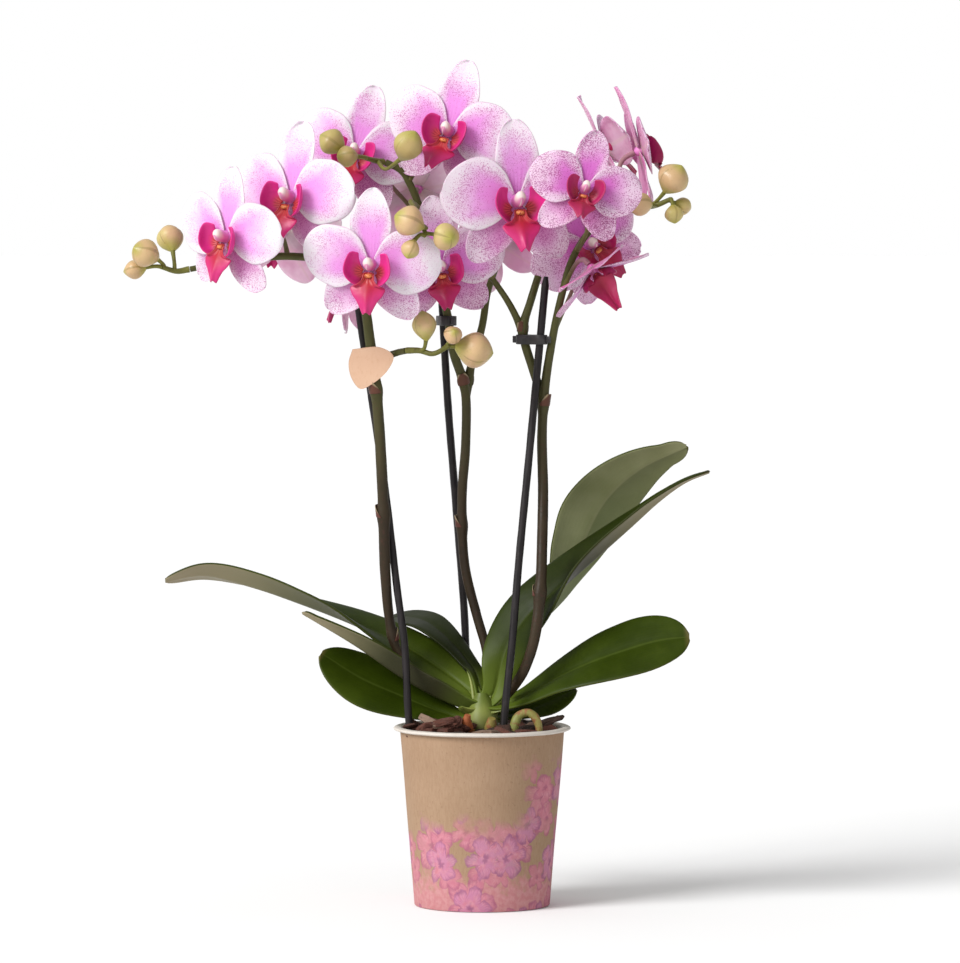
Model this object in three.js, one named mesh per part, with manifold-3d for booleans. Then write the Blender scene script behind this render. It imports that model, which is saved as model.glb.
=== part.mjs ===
// A moth orchid in flower, standing in a paper pot of bark.
//
// Units are millimetres. +Z is up, the origin is the middle of the pot's underside, and the plant is seen
// best from -Y. Three flower spikes rise from a short crown of leaves, each tied to a thin stake. Every bloom
// is two solids in one group: its five sepals and petals with the column, and its coloured lip. The opening
// buds at the end of each branch are one spray each.
import * as THREE from "three";
import { mergeVertices } from "three/addons/utils/BufferGeometryUtils.js";
import Module from "manifold-3d";

const wasm = await Module();
wasm.setup();
const { sin, cos, sqrt, abs, max, min, PI } = Math;
const V = (x, y, z) => new THREE.Vector3(x, y, z);
const vectors = (rows) => rows.map((row) => V(...row));
const radians = THREE.MathUtils.degToRad;
const mix = THREE.MathUtils.lerp;

// ---- Driving dimensions -------------------------------------------------------------------------------

const SEAT_GAP = 0.3; // the clearance between two pieces that rest on each other

const POT = {
  height: 93,
  footRadius: 35.2,
  topRadius: 42.6, // the wall's outside, just under the rim
  wall: 1.1,
  rimRadius: 46, // the outside of the flattened roll
  rimDepth: 2.2,
  sides: 32,
};
const BASE_THICKNESS = 2;
const BARK = { top: 88.5, mouth: 99, sides: 20, chips: 13, spread: 31, seed: 11 };
const CLIP = { height: 5, clear: 0.5, band: 1.2 };
const LABEL = { thickness: 0.9 };
const STAKE = { radius: 2, sides: 6, steps: 9, hole: 0.4 };
const LEAF = { thickness: 1.6, along: 7, across: 4 };
const SPIKE = { sides: 5, stalkSides: 4, stalkSteps: 4 };
const TEPAL_THICKNESS = 0.8;
const LIP_THICKNESS = 0.9;
const HUB_BACK = 3.4; // how far the hub stands out behind the sepals and petals

// ---- Solids -------------------------------------------------------------------------------------------

// A closed three.js geometry as a manifold solid, ready to be joined or cut.
function solidOf(geometry) {
  const bare = new THREE.BufferGeometry().setAttribute("position", geometry.getAttribute("position"));
  if (geometry.index) bare.setIndex(geometry.index);
  const merged = mergeVertices(bare, 1e-4);
  const mesh = new wasm.Mesh({
    numProp: 3,
    vertProperties: new Float32Array(merged.attributes.position.array),
    triVerts: new Uint32Array(merged.index.array),
  });
  return new wasm.Manifold(mesh);
}

function geometryOf(solid) {
  const { numProp, vertProperties, triVerts } = solid.getMesh();
  const positions = new Float32Array((vertProperties.length / numProp) * 3);
  for (let i = 0; i * numProp < vertProperties.length; i++) {
    positions.set(vertProperties.subarray(i * numProp, i * numProp + 3), i * 3);
  }
  return new THREE.BufferGeometry()
    .setAttribute("position", new THREE.BufferAttribute(positions, 3))
    .setIndex(new THREE.BufferAttribute(new Uint32Array(triVerts), 1));
}

const joined = (solids) => solids.reduce((whole, piece) => whole.add(piece));
const indexed = (points, triangles) => new THREE.BufferGeometry().setFromPoints(points).setIndex(triangles);

// Rings of equally many points, joined in order and closed by a fan at each end.
function loft(rings) {
  const count = rings[0].length;
  const middle = (ring) => ring.reduce((sum, p) => sum.add(p), V(0, 0, 0)).divideScalar(count);
  const points = [...rings.flat(), middle(rings[0]), middle(rings.at(-1))];
  const [first, last] = [points.length - 2, points.length - 1];
  const end = (rings.length - 1) * count;
  const triangles = [];
  for (let j = 0; j < count; j++) {
    const k = (j + 1) % count;
    for (let i = 0; i + 1 < rings.length; i++) {
      const [a, b, c, d] = [i * count + j, i * count + k, (i + 1) * count + j, (i + 1) * count + k];
      triangles.push(a, b, d, a, d, c);
    }
    triangles.push(first, k, j, last, end + j, end + k);
  }
  return solidOf(indexed(points, triangles));
}

// A value that runs evenly through a row of values as u goes from 0 to 1.
function along(values, u) {
  const place = max(0, min(1, u)) * (values.length - 1);
  const i = min(Math.floor(place), values.length - 2);
  return mix(values[i], values[i + 1], place - i);
}

// A round stem along a smooth curve. The radius runs evenly through the values given.
function stem(route, radii, sides, steps) {
  const curve = new THREE.CatmullRomCurve3(vectors(route));
  const frames = curve.computeFrenetFrames(steps, false);
  const rings = [];
  for (let i = 0; i <= steps; i++) {
    const centre = curve.getPointAt(i / steps);
    const radius = along(radii, i / steps);
    const ring = Array.from({ length: sides }, (_, j) => {
      const turn = (2 * PI * j) / sides;
      const across = frames.normals[i].clone().multiplyScalar(radius * cos(turn));
      return centre.clone().add(across).addScaledVector(frames.binormals[i], radius * sin(turn));
    });
    rings.push(ring);
  }
  return loft(rings);
}

// An egg-shaped body along an axis: a bud, a swelling on a stem or the middle of a bloom.
function egg(start, direction, length, radius, { sides, rings, belly = 0.55 }) {
  const axis = direction.clone().normalize();
  const side = V(abs(axis.z) < 0.8 ? 0 : 1, 0, abs(axis.z) < 0.8 ? 1 : 0).cross(axis).normalize();
  const other = axis.clone().cross(side);
  const loops = [];
  for (let i = 0; i <= rings + 1; i++) {
    const u = mix(0.03, 0.97, i / (rings + 1));
    const bulge = radius * sin(PI * u ** (Math.log(0.5) / Math.log(belly))) ** 0.75;
    const loop = Array.from({ length: sides }, (_, j) => {
      const turn = (2 * PI * j) / sides;
      const point = start.clone().addScaledVector(axis, length * u);
      return point.addScaledVector(side, bulge * cos(turn)).addScaledVector(other, bulge * sin(turn));
    });
    loops.push(loop);
  }
  return loft(loops);
}

// A thin blade of even thickness about a middle surface, given as point(s, t) with s from 0 at the root to
// 1 at the tip and t from -1 to 1 across. Both faces are split along the same diagonals.
function blade(point, stations, across, thickness) {
  const columns = across + 1;
  const last = stations.length - 1;
  const row = (s) => Array.from({ length: columns }, (_, j) => point(s, (2 * j) / across - 1));
  const middle = stations.map(row);
  const front = [];
  const back = [];
  for (let i = 0; i <= last; i++) {
    for (let j = 0; j <= across; j++) {
      const lengthwise = middle[min(i + 1, last)][j].clone().sub(middle[max(i - 1, 0)][j]);
      const crosswise = middle[i][min(j + 1, across)].clone().sub(middle[i][max(j - 1, 0)]);
      const normal = lengthwise.cross(crosswise).setLength(thickness / 2);
      front.push(middle[i][j].clone().add(normal));
      back.push(middle[i][j].clone().sub(normal));
    }
  }
  const triangles = [];
  const size = front.length;
  for (let i = 0; i < last; i++) {
    for (let j = 0; j < across; j++) {
      const a = i * columns + j;
      const [b, c, d] = [a + 1, a + columns, a + columns + 1];
      triangles.push(a, d, b, a, c, d, size + a, size + b, size + d, size + a, size + d, size + c);
    }
  }
  const edge = [];
  for (let j = 0; j < across; j++) edge.push(j);
  for (let i = 0; i < last; i++) edge.push(i * columns + across);
  for (let j = across; j > 0; j--) edge.push(last * columns + j);
  for (let i = last; i > 0; i--) edge.push(i * columns);
  edge.forEach((a, n) => {
    const b = edge[(n + 1) % edge.length];
    triangles.push(a, b, size + b, a, size + b, size + a);
  });
  return solidOf(indexed([...front, ...back], triangles));
}

// ---- Pot and bark -------------------------------------------------------------------------------------

const wallRadiusAt = (z) => mix(POT.footRadius, POT.topRadius, z / POT.height);
const boreRadiusAt = (z) => wallRadiusAt(z) - POT.wall - SEAT_GAP;

function turned(profile, sides) {
  const shape = profile.map(([r, z]) => new THREE.Vector2(r, z));
  return solidOf(new THREE.LatheGeometry(shape, sides).rotateX(PI / 2));
}

function paperPot() {
  const neck = POT.height - POT.rimDepth;
  const rimMiddle = (POT.rimRadius + POT.topRadius - POT.wall) / 2;
  const rimHalf = POT.rimRadius - rimMiddle;
  const roll = [-45, 0, 45, 90, 135].map((angle) => [
    rimMiddle + rimHalf * cos(radians(angle)),
    POT.height + (POT.rimDepth / 2) * (sin(radians(angle)) - 1),
  ]);
  const inside = POT.footRadius - POT.wall;
  const wall = [[inside, 0], [POT.footRadius, 0], [POT.topRadius, neck]];
  return turned([...wall, ...roll, [POT.topRadius - POT.wall, neck], [inside, 0]], POT.sides);
}

function potBase() {
  const radius = POT.footRadius - POT.wall - SEAT_GAP;
  return turned([[0, 0], [radius, 0], [radius, BASE_THICKNESS], [0, BASE_THICKNESS]], POT.sides);
}

// A seeded draw between 0 and 1, the same on every run.
function seededDraw(seed) {
  let state = seed;
  return () => {
    state = (state * 16807) % 2147483647;
    return state / 2147483647;
  };
}

// The fill of bark, with loose chips sunk into its top.
function barkFill() {
  const draw = seededDraw(BARK.seed);
  const floor = BASE_THICKNESS + SEAT_GAP;
  const shoulder = BARK.top - 1;
  const bed = [[0, floor], [boreRadiusAt(floor), floor], [boreRadiusAt(shoulder), shoulder], [0, BARK.top]];
  let fill = turned(bed, BARK.sides);
  for (let i = 0; i < BARK.chips; i++) {
    const turn = i * 2.4 + draw() * 0.5;
    const out = sqrt((i + 0.5) / BARK.chips) * BARK.spread;
    const chip = new THREE.BoxGeometry(mix(10, 17, draw()), mix(6, 9, draw()), mix(3, 5, draw()));
    chip.rotateX(mix(-0.5, 0.5, draw())).rotateY(mix(-0.5, 0.5, draw())).rotateZ(draw() * PI);
    chip.translate(out * cos(turn), out * sin(turn), BARK.top + mix(-0.5, 1.8, draw()));
    fill = fill.add(solidOf(chip));
  }
  const top = BARK.mouth;
  const bore = [[0, floor], [boreRadiusAt(floor), floor], [boreRadiusAt(top), top], [0, top]];
  return fill.intersect(turned(bore, BARK.sides));
}

// ---- Crown, leaves and roots --------------------------------------------------------------------------

// Each leaf follows its midrib. half is its greatest half width. roll turns it about the midrib, in degrees,
// with the near side (-Y) going down where it is positive. near and far are how far each
// half folds up from flat, in degrees, and widths are parts of half. Each is a row from root to tip.
const LEAVES = [
  {
    name: "leaf_left_low",
    rib: [[-11, 0, 96.5], [-24, 4, 100.5], [-42, 9, 107.5], [-63, 11, 116.5], [-84, 12, 129.5]],
    half: 19, roll: [34, 42], near: [6, 3], far: [8, 4], widths: [0.3, 0.45, 0.62, 0.8, 0.94, 1, 0.96, 0.8, 0.2],
  },
  {
    name: "leaf_left_short",
    rib: [[-12, 0, 103.5], [-25, 0.5, 109], [-42, 3, 118.5], [-66, 4, 135], [-93, 3, 151.5]],
    half: 12, roll: [0, 0], near: [58, 56, 30], far: [12, 6], widths: [0.7, 0.9, 0.95, 1, 1, 0.92, 0.75, 0.5, 0.15],
  },
  {
    name: "leaf_left_long",
    rib: [
      [-9.5, 5.5, 113], [-23, 15, 122], [-38, 23.5, 131], [-68, 31, 144], [-94, 34, 154],
      [-120, 35, 163], [-146, 34, 169.5], [-166, 31, 166.5],
    ],
    half: 17, roll: [37, -26], near: [12, 16, 34, 28, 8], far: [9, 10, 14, 12, 4],
    widths: [0.36, 0.7, 0.92, 1, 0.97, 0.9, 0.78, 0.64, 0.34],
  },
  {
    name: "leaf_back",
    rib: [[-5, 12, 122], [-15, 23, 133.5], [-28, 38.5, 143.5], [-40, 55, 145.3], [-51, 66, 143.3]],
    half: 12, roll: [0, 4, 22], near: [4, 0], far: [10, 4],
    widths: [0.44, 0.56, 0.72, 0.88, 0.98, 1, 0.9, 0.66, 0.24],
  },
  {
    name: "leaf_right_tall",
    rib: [
      [7, 12, 120.5], [22, 27, 138], [43, 30, 166], [53, 28, 188], [64, 22, 209],
      [82, 13, 226], [106, 4, 238],
    ],
    half: 20, roll: [-25, -50], near: [8, 10, 4], far: [8, 10, 4], widths: [0.3, 0.4, 0.55, 0.75, 0.92, 1, 0.85, 0.55, 0.12],
  },
  {
    name: "leaf_right_folded",
    rib: [
      [7.5, -0.5, 113.5], [11, 1, 129], [21, 1, 147], [38, 0, 162.5], [60, -3, 181.5], [77, -6, 197],
      [92, -9, 211], [105, -11, 220.5], [117, -12, 225.5],
    ],
    half: 19, roll: [52, 40, 10, 0, 0], near: [4, 8, 24, 20, 8], far: [12, 20, 34, 30, 12],
    widths: [0.36, 0.74, 0.9, 1, 1, 0.9, 0.7, 0.42, 0.14],
  },
  {
    name: "leaf_right_low",
    rib: [
      [12, -3, 104.5], [22, -6, 108.5], [40, -9, 119], [56, -11, 126.5], [74, -12, 133],
      [91, -13, 138], [107, -14, 140],
    ],
    half: 19, roll: [30, 52], near: [8, 4], far: [6, 4], widths: [0.32, 0.42, 0.56, 0.76, 0.92, 1, 1, 0.85, 0.24],
  },
  {
    name: "leaf_right_small",
    rib: [[11.5, 2, 98], [22, 4, 100], [36, 6, 105.5], [49, 7, 111.5]],
    half: 9, roll: [35, 40], near: [5, 3], far: [5, 3], widths: [0.4, 0.5, 0.65, 0.82, 0.95, 1, 0.9, 0.65, 0.2],
  },
];

// Sections are closer together towards the rounded tip.
const leafStation = (i) => sin((PI / 2) * (i / LEAF.along)) ** 1.15;
const LEAF_STATIONS = Array.from({ length: LEAF.along + 1 }, (_, i) => leafStation(i));

function leafBlade({ rib, half, roll, near, far, widths }) {
  const curve = new THREE.CatmullRomCurve3(vectors(rib));
  const point = (s, t) => {
    const ahead = curve.getTangentAt(s);
    const level = V(0, 0, 1).cross(ahead).normalize(); // across, level with the ground
    if (level.y > 0) level.negate(); // towards the near side
    const up = level.clone().cross(ahead).normalize();
    if (up.z < 0) up.negate();
    const turn = radians(along(roll, s));
    const side = level.clone().multiplyScalar(cos(turn)).addScaledVector(up, -sin(turn));
    const raise = up.clone().multiplyScalar(cos(turn)).addScaledVector(level, sin(turn));
    const fold = radians(along(t < 0 ? near : far, s));
    const reach = half * along(widths, s) * abs(t);
    const middle = curve.getPointAt(s).addScaledVector(raise, reach * sin(fold));
    return middle.addScaledVector(side, -Math.sign(t) * reach * cos(fold));
  };
  return blade(point, LEAF_STATIONS, LEAF.across, LEAF.thickness);
}

// The short stem and the stout leaf bases that leave it, one towards the foot of each leaf.
function crownStem(grow = 0) {
  const core = stem([[0, 0, 80], [0, 0.5, 92], [0, 1, 104]], [5 + grow, 6.5 + grow, 6 + grow], 8, 3);
  const sheaths = LEAVES.map(({ rib }) => {
    const foot = V(...rib[0]);
    const away = V(...rib[1]).sub(foot).normalize();
    const start = V(0, 0.5, foot.z - 12);
    const end = foot.clone().addScaledVector(away, -1.5 * SEAT_GAP);
    const bend = end.clone().addScaledVector(away, -4);
    return stem([start.toArray(), bend.toArray(), end.toArray()], [4.5, 2.8, 1.7], 5, 3);
  });
  return joined([core, ...sheaths]);
}

// A live root that loops out of the bark and back in.
const ROOT_ROUTE = [
  [16.5, -20, 80], [16.5, -20, 94], [19, -20, 100], [24, -20, 101.5], [28.5, -20, 97], [29.5, -20, 80],
];
const rootLoop = (grow = 0) => stem(ROOT_ROUTE, [2.4 + grow, 2.4 + grow, 1.7 + grow], 6, 12);

// ---- Stakes, clips and label --------------------------------------------------------------------------

const STAKES = [
  {
    name: "stake_left",
    route: [
      [-33.8, -8, 45], [-37.2, -9, 88], [-38.5, -9.5, 105], [-40, -9, 135], [-44, -7, 165],
      [-50, -5, 215], [-58, -8, 270], [-65, -10, 318],
    ],
  },
  {
    name: "stake_middle",
    route: [[-8, 33, 45], [-8, 36, 92], [-9, 36, 143], [-14, 30, 210], [-18, 21, 262], [-21, 12, 316]],
  },
  {
    name: "stake_right",
    route: [
      [11, -19, 45], [11, -19, 92], [15.5, -18.5, 138], [19, -16, 180], [23.5, -12, 226],
      [30, -5.5, 294], [33, -3, 326],
    ],
  },
];
function stakeRod({ route }, grow = 0) {
  const radius = STAKE.radius + grow;
  return stem(route, [radius, radius], STAKE.sides, STAKE.steps);
}

// A clip is a flat band round two upright stems, given by where each stands at the clip's middle height.
const CLIPS = [
  { name: "clip_middle", z: 303, stems: [[-17.5, 6.4, 2.6], [-20.3, 14.2, 2]] },
  { name: "clip_right", z: 293.5, stems: [[21.6, 0, 2.4], [30, -5.5, 2]] },
];

function stadium([[ax, ay, ar], [bx, by, br]], grow, z) {
  const facingB = Math.atan2(by - ay, bx - ax);
  const end = (x, y, r, middle) =>
    [-90, -45, 0, 45, 90].map((angle) => {
      const turn = middle + radians(angle);
      return V(x + (r + grow) * cos(turn), y + (r + grow) * sin(turn), z);
    });
  return [...end(bx, by, br, facingB), ...end(ax, ay, ar, facingB + PI)];
}

function clipBand({ z, stems }) {
  const half = CLIP.height / 2;
  const solid = (grow, reach) => loft([stadium(stems, grow, z - reach), stadium(stems, grow, z + reach)]);
  return solid(CLIP.clear + CLIP.band, half).subtract(solid(CLIP.clear, half + 1));
}

// The bare label: a rounded drop of card, wider at the top, that lies against the left spike.
const LABEL_OUTLINE = [[-9, 10], [5, 11], [12, 6.5], [9, -1], [1, -8], [-5, -10.5], [-9.5, -5], [-11, 3]];
const LABEL_PLACE = { at: [-57.6, -21.6, 279], lean: 3.8 };

function label() {
  const corners = LABEL_OUTLINE.map(([x, y]) => V(x, y, 0));
  const rim = new THREE.CatmullRomCurve3(corners, true).getPoints(2 * corners.length).slice(0, -1);
  const at = (depth) => rim.map(({ x, y }) => V(x, depth, y));
  const card = loft([at(-LABEL.thickness / 2), at(LABEL.thickness / 2)]);
  return card.rotate([LABEL_PLACE.lean, 0, 0]).translate(LABEL_PLACE.at);
}

// ---- Spikes -------------------------------------------------------------------------------------------

// A spike is a main stem, its side branches and the joints along them. Radii run evenly along each stem.
const SPIKES = [
  {
    name: "spike_left",
    stems: [
      {
        route: [
          [-17.5, 0.9, 111.3], [-26, 1, 115.6], [-38, 2.6, 124], [-44, 3, 132], [-47.5, 1, 145],
          [-50, -8, 172],
          [-51, -14, 210], [-54, -17, 262], [-57.5, -19, 292], [-62, -21, 317], [-72, -21, 332],
          [-96, -17, 336.5], [-122, -16, 335], [-150, -20, 330],
        ],
        radii: [2, 2.4, 2.9, 3, 2.9, 2.7, 2.2, 1.9, 1.5], steps: 22,
      },
      {
        route: [[-55, -18, 279], [-49, -18, 285], [-44, -19, 287], [-39, -26, 288.3]],
        radii: [2.1, 1.6], steps: 3,
      },
    ],
    joints: [[-46.5, 2, 140, 3.8], [-51, -13.4, 203, 3.5], [-54.5, -17.5, 268, 3.3]],
  },
  {
    name: "spike_middle",
    stems: [
      {
        route: [
          [3, 12.5, 122], [2, 16, 132], [-3, 18, 150], [-9, 18, 175], [-10.5, 17, 210], [-8.5, 16, 240],
          [-9, 14, 268], [-15, 10, 287], [-18, 6, 306], [-24, 5, 330], [-31, 5, 358], [-38, 5, 375],
          [-42, 4, 381], [-50, 3, 385],
        ],
        radii: [2.4, 2.6, 2.6, 2.5, 2.3, 2.1, 1.8], steps: 20,
      },
      {
        route: [[-8.5, 15, 262], [-6, 16, 278], [0, 17, 300], [3, 18, 318], [7, 18, 330]],
        radii: [2.2, 2, 1.6], steps: 5,
      },
    ],
    joints: [[-10.2, 17, 196, 3.2], [-8, 15, 272, 3]],
  },
  {
    name: "spike_right",
    stems: [
      {
        route: [
          [13, -7.5, 110], [17.5, -11, 116], [22, -16, 124], [27, -20, 140], [30, -18, 165], [31, -13, 190],
          [31.5, -7, 215], [31, -4, 245], [32.5, -4, 269], [36, -4, 292], [41, -4, 316], [47, -4, 336],
          [58, -4, 352], [72, -6, 359], [84, -10, 362],
        ],
        radii: [2.6, 2.9, 2.9, 2.8, 2.5, 2.1, 1.8, 1.5], steps: 21,
      },
      {
        route: [[31.5, -4, 262], [27, -1, 276], [22, 0, 292], [21, 0, 299], [25, 1, 313], [29, 4, 326]],
        radii: [2.4, 2.3, 2], steps: 6,
      },
      { route: [[21.5, 0, 297], [14, -1, 312], [6, -1, 324], [2.5, -2, 329]], radii: [2, 1.4], steps: 3 },
    ],
    joints: [[29.8, -18.2, 163, 3.5], [31.8, -4, 260, 3.3], [21, 0, 299, 3]],
  },
];

// Buds by spray: the twig that carries them, and for each bud its pedicel's start, its middle, the way it
// points, its length and its radius.
const SPRAYS = [
  {
    name: "buds_left",
    twig: [[-150.4, -20, 330], [-157, -21, 329], [-164, -22, 331]],
    buds: [
      { from: [-163, -22, 330.5], at: [-172, -27, 338], to: [-0.6, -0.5, 0.3], length: 18, radius: 7.4 },
      { from: [-164, -22, 331], at: [-178, -20, 330], to: [-0.9, 0.1, -0.2], length: 13.5, radius: 5 },
      { from: [-158, -21, 329], at: [-160.5, -13, 345.5], to: [-0.2, 0.5, 0.8], length: 17, radius: 7 },
    ],
  },
  {
    name: "buds_centre_low",
    twig: [[-38.6, -26.6, 288.4], [-32, -32, 288.5], [-25, -36, 287], [-17, -37, 291]],
    buds: [
      { from: [-31.5, -34, 288.5], at: [-29.5, -37, 301], to: [-0.15, -0.1, 1], length: 17, radius: 6.3 },
      { from: [-19, -37, 290], at: [-15, -42, 296.5], to: [0.2, -0.8, 0.4], length: 11, radius: 4.8 },
      { from: [-20, -37, 289.5], at: [-4.5, -33, 289], to: [1, 0.2, -0.2], length: 22, radius: 9.3 },
    ],
  },
  {
    name: "buds_top",
    twig: [[-51, 2.6, 385.2], [-56, -2, 386], [-61, -8, 387.5]],
    buds: [
      { from: [-54, 0, 385.5], at: [-38, -30, 393], to: [0.4, -0.5, 0.8], length: 20, radius: 7.6 },
      { from: [-60, -7, 387], at: [-69, -16, 388], to: [-0.9, -0.5, 0], length: 13, radius: 5.6 },
      { from: [-61, -8, 387.5], at: [-77, -10, 395], to: [-0.8, 0.1, 0.5], length: 16, radius: 7 },
    ],
  },
  {
    name: "buds_centre",
    twig: [[-32.6, 2.5, 361], [-36, -14, 364], [-36, -38, 364], [-32, -58, 357], [-28.5, -66, 348]],
    buds: [
      { from: [-30, -63, 352.5], at: [-36.5, -73, 354.5], to: [-0.8, -0.3, 0.35], length: 18, radius: 8 },
      { from: [-28.5, -66, 348.5], at: [-18.6, -70, 347], to: [0.4, -0.8, -0.1], length: 15, radius: 7 },
      { from: [-29, -65.5, 347.5], at: [-36, -74, 341], to: [-0.3, -0.4, -0.8], length: 12, radius: 4.8 },
    ],
  },
  {
    name: "buds_right",
    twig: [[84.4, -10.2, 362.1], [90, -13, 363], [97, -15, 366]],
    buds: [
      { from: [86, -11, 362.4], at: [98, -18, 376], to: [0.5, -0.3, 0.8], length: 18.5, radius: 8.4 },
      { from: [88, -12, 362.7], at: [81.5, -24, 363.5], to: [-0.8, -0.6, 0.1], length: 15.5, radius: 6.2 },
      { from: [97, -15, 366], at: [98.5, -19, 358.5], to: [0.1, -0.3, -1], length: 11, radius: 4.9 },
      { from: [96, -14.5, 365.5], at: [103, -10, 362.5], to: [0.8, 0.4, -0.3], length: 11, radius: 4.8 },
    ],
  },
];

// ---- Blooms -------------------------------------------------------------------------------------------

// at is where a bloom's sepals and petals join. turn is how far it faces away from -Y towards +X, tip how
// far it looks up and roll how far it leans clockwise, all in degrees. cup is how far its petals close
// forward, in degrees. stalk is where its pedicel leaves the spike, with any point it passes on its way.
const BLOOMS = [
  {
    name: "bloom_l1", spike: "spike_left", at: [-130, -44, 347],
    turn: -40, tip: -8, roll: 8, size: 0.98, cup: 0,
    stalk: [[-138, -18, 332.5]],
  },
  {
    name: "bloom_l2", spike: "spike_left", at: [-97.6, -34, 367],
    turn: -32, tip: 0, roll: 5, size: 1.06, cup: 0,
    stalk: [[-110, -16.4, 336]],
  },
  {
    name: "bloom_l3", spike: "spike_left", at: [-56.5, -54, 333],
    turn: -12, tip: -12, roll: 4, size: 1.04, cup: 0,
    stalk: [[-68, -21.2, 328]],
  },
  {
    name: "bloom_l4", spike: "spike_left", at: [-106, 14, 351],
    turn: -172, tip: 4, roll: -8, size: 0.95, cup: 0,
    stalk: [[-100, -16.8, 336.6]],
  },
  {
    name: "bloom_l5", spike: "spike_left", at: [-69, 18, 321],
    turn: -104, tip: 5, roll: 0, size: 0.88, cup: 0,
    stalk: [[-66, -21, 325]],
  },
  {
    name: "bloom_m1", spike: "spike_middle", at: [-17, -12, 401],
    turn: -19, tip: 0, roll: 15, size: 1.02, cup: 0, thrust: 28,
    stalk: [[-38, 4.8, 375.5]],
  },
  {
    name: "bloom_m2", spike: "spike_middle", at: [-66, 22, 390],
    turn: -8, tip: 4, roll: 13, size: 1, cup: 0,
    stalk: [[-29, 5, 350], [-34, 26, 358], [-52, 34, 378]],
  },
  {
    name: "bloom_m3", spike: "spike_middle", at: [-21.3, -14, 332],
    turn: 5, tip: -16, roll: -8, size: 0.98, cup: 0, thrust: 24,
    stalk: [[-21, 5.5, 318]],
  },
  {
    name: "bloom_m4", spike: "spike_middle", at: [-34, 44, 371],
    turn: 176, tip: 2, roll: 0, size: 0.92, cup: 0,
    stalk: [[-34, 5, 366]],
  },
  {
    name: "bloom_m5", spike: "spike_middle", at: [6, 34, 344],
    turn: -140, tip: -6, roll: 20, size: 0.85, cup: 0,
    stalk: [[6, 18, 328]],
  },
  {
    name: "bloom_r1", spike: "spike_right", at: [18, -30, 365],
    turn: 12, tip: -4, roll: -3, size: 1.14, cup: 0, thrust: 12,
    stalk: [[5, -1.2, 325]],
  },
  {
    name: "bloom_r2", spike: "spike_right", at: [52, -58, 371],
    turn: 3, tip: 4, roll: 13, size: 0.84, cup: 0, thrust: 30,
    stalk: [[49, -4, 339.5], [54, -26, 351]],
  },
  {
    name: "bloom_r3", spike: "spike_right", at: [56, 28, 343.3],
    turn: 26, tip: -8, roll: -45, size: 0.98, cup: 0,
    stalk: [[37, -4, 297], [41, 34, 304], [51, 46, 328]],
  },
  {
    name: "bloom_r4", spike: "spike_right", at: [56.5, -17, 330],
    turn: 90, tip: -56, roll: 90, size: 0.86, cup: 27, thrust: 56, tongue: 1.6,
    stalk: [[42, -4, 320]],
  },
  {
    name: "bloom_r5", spike: "spike_right", at: [82, 8, 391],
    turn: 95, tip: 17, roll: -5, size: 0.97, cup: 4,
    stalk: [[72, -6, 359]],
  },
  {
    name: "bloom_r6", spike: "spike_right", at: [64, 43, 392],
    turn: 96, tip: 27, roll: -6, size: 0.85, cup: 26,
    stalk: [[60, -4.2, 353.5]],
  },
];

// The five tepals at size 1, in the bloom's own frame: x to the viewer's right, y up and z out of its face.
// lean is the direction of each in degrees, foot how far out and forward it starts, reach its length and
// half its half width. rise tilts it forward, bend curls it back towards the tip and sag lowers its sides.
const TEPALS = [
  { kind: "sepal", lean: 90, foot: [1.8, -1.2], reach: 35, half: 10.5, rise: 1, bend: 5, sag: -1.5 },
  { kind: "sepal", lean: 230, foot: [1.8, -1.2], reach: 32, half: 10.5, rise: 1, bend: 5, sag: -1.5 },
  { kind: "sepal", lean: 310, foot: [1.8, -1.2], reach: 32, half: 10.5, rise: 1, bend: 5, sag: -1.5 },
  { kind: "petal", lean: 170, foot: [1.8, 0.6], reach: 33, half: 16.5, rise: 2, bend: 4.5, sag: 1.5 },
  { kind: "petal", lean: 10, foot: [1.8, 0.6], reach: 33, half: 16.5, rise: 2, bend: 4.5, sag: 1.5 },
];
const OUTLINE = {
  sepal: { stations: [0, 0.36, 0.76, 1], widths: [0.14, 0.86, 0.92, 0.28] },
  petal: { stations: [0, 0.25, 0.55, 0.83, 1], widths: [0.09, 0.68, 1, 0.86, 0.36] },
};

function tepal({ kind, lean, foot, reach, half, rise, bend, sag }, size, cup) {
  const { stations, widths } = OUTLINE[kind];
  const direction = V(cos(radians(lean)), sin(radians(lean)), 0);
  const sideways = V(-direction.y, direction.x, 0);
  const closed = radians(kind === "petal" ? cup : cup / 5);
  const point = (s, t) => {
    const flat = reach * s * (1 - 0.12 * t * t * s);
    const lift = rise * s - bend * s * s - sag * t * t * s;
    const out = foot[0] + flat * cos(closed) - lift * sin(closed);
    const forward = foot[1] + flat * sin(closed) + lift * cos(closed);
    const aside = half * widths[stations.indexOf(s)] * t;
    const place = V(0, 0, forward).addScaledVector(direction, out).addScaledVector(sideways, aside);
    return place.multiplyScalar(size);
  };
  return blade(point, stations, 2, TEPAL_THICKNESS);
}

// The hub and the column that stands out of it over the lip, as rounds [height, radius, forward], in which
// height leans the column up a little.
const CORE = [
  [0, 1.2, -HUB_BACK], [0, 3.2, -1.6], [0, 3.2, 1.4], [0.4, 1.9, 3], [1.2, 2.6, 7.2], [1.5, 1.3, 9.4],
];
const CORE_SIDES = 5;

function bloomBody({ size, cup }) {
  const rings = CORE.map(([height, radius, forward]) =>
    Array.from({ length: CORE_SIDES }, (_, j) => {
      const turn = (2 * PI * j) / CORE_SIDES;
      return V(radius * sin(turn), height + radius * cos(turn), forward).multiplyScalar(size);
    }),
  );
  const core = loft(rings.map((ring) => ring.reverse()));
  return joined([core, ...TEPALS.map((shape) => tepal(shape, size, cup))]);
}

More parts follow.
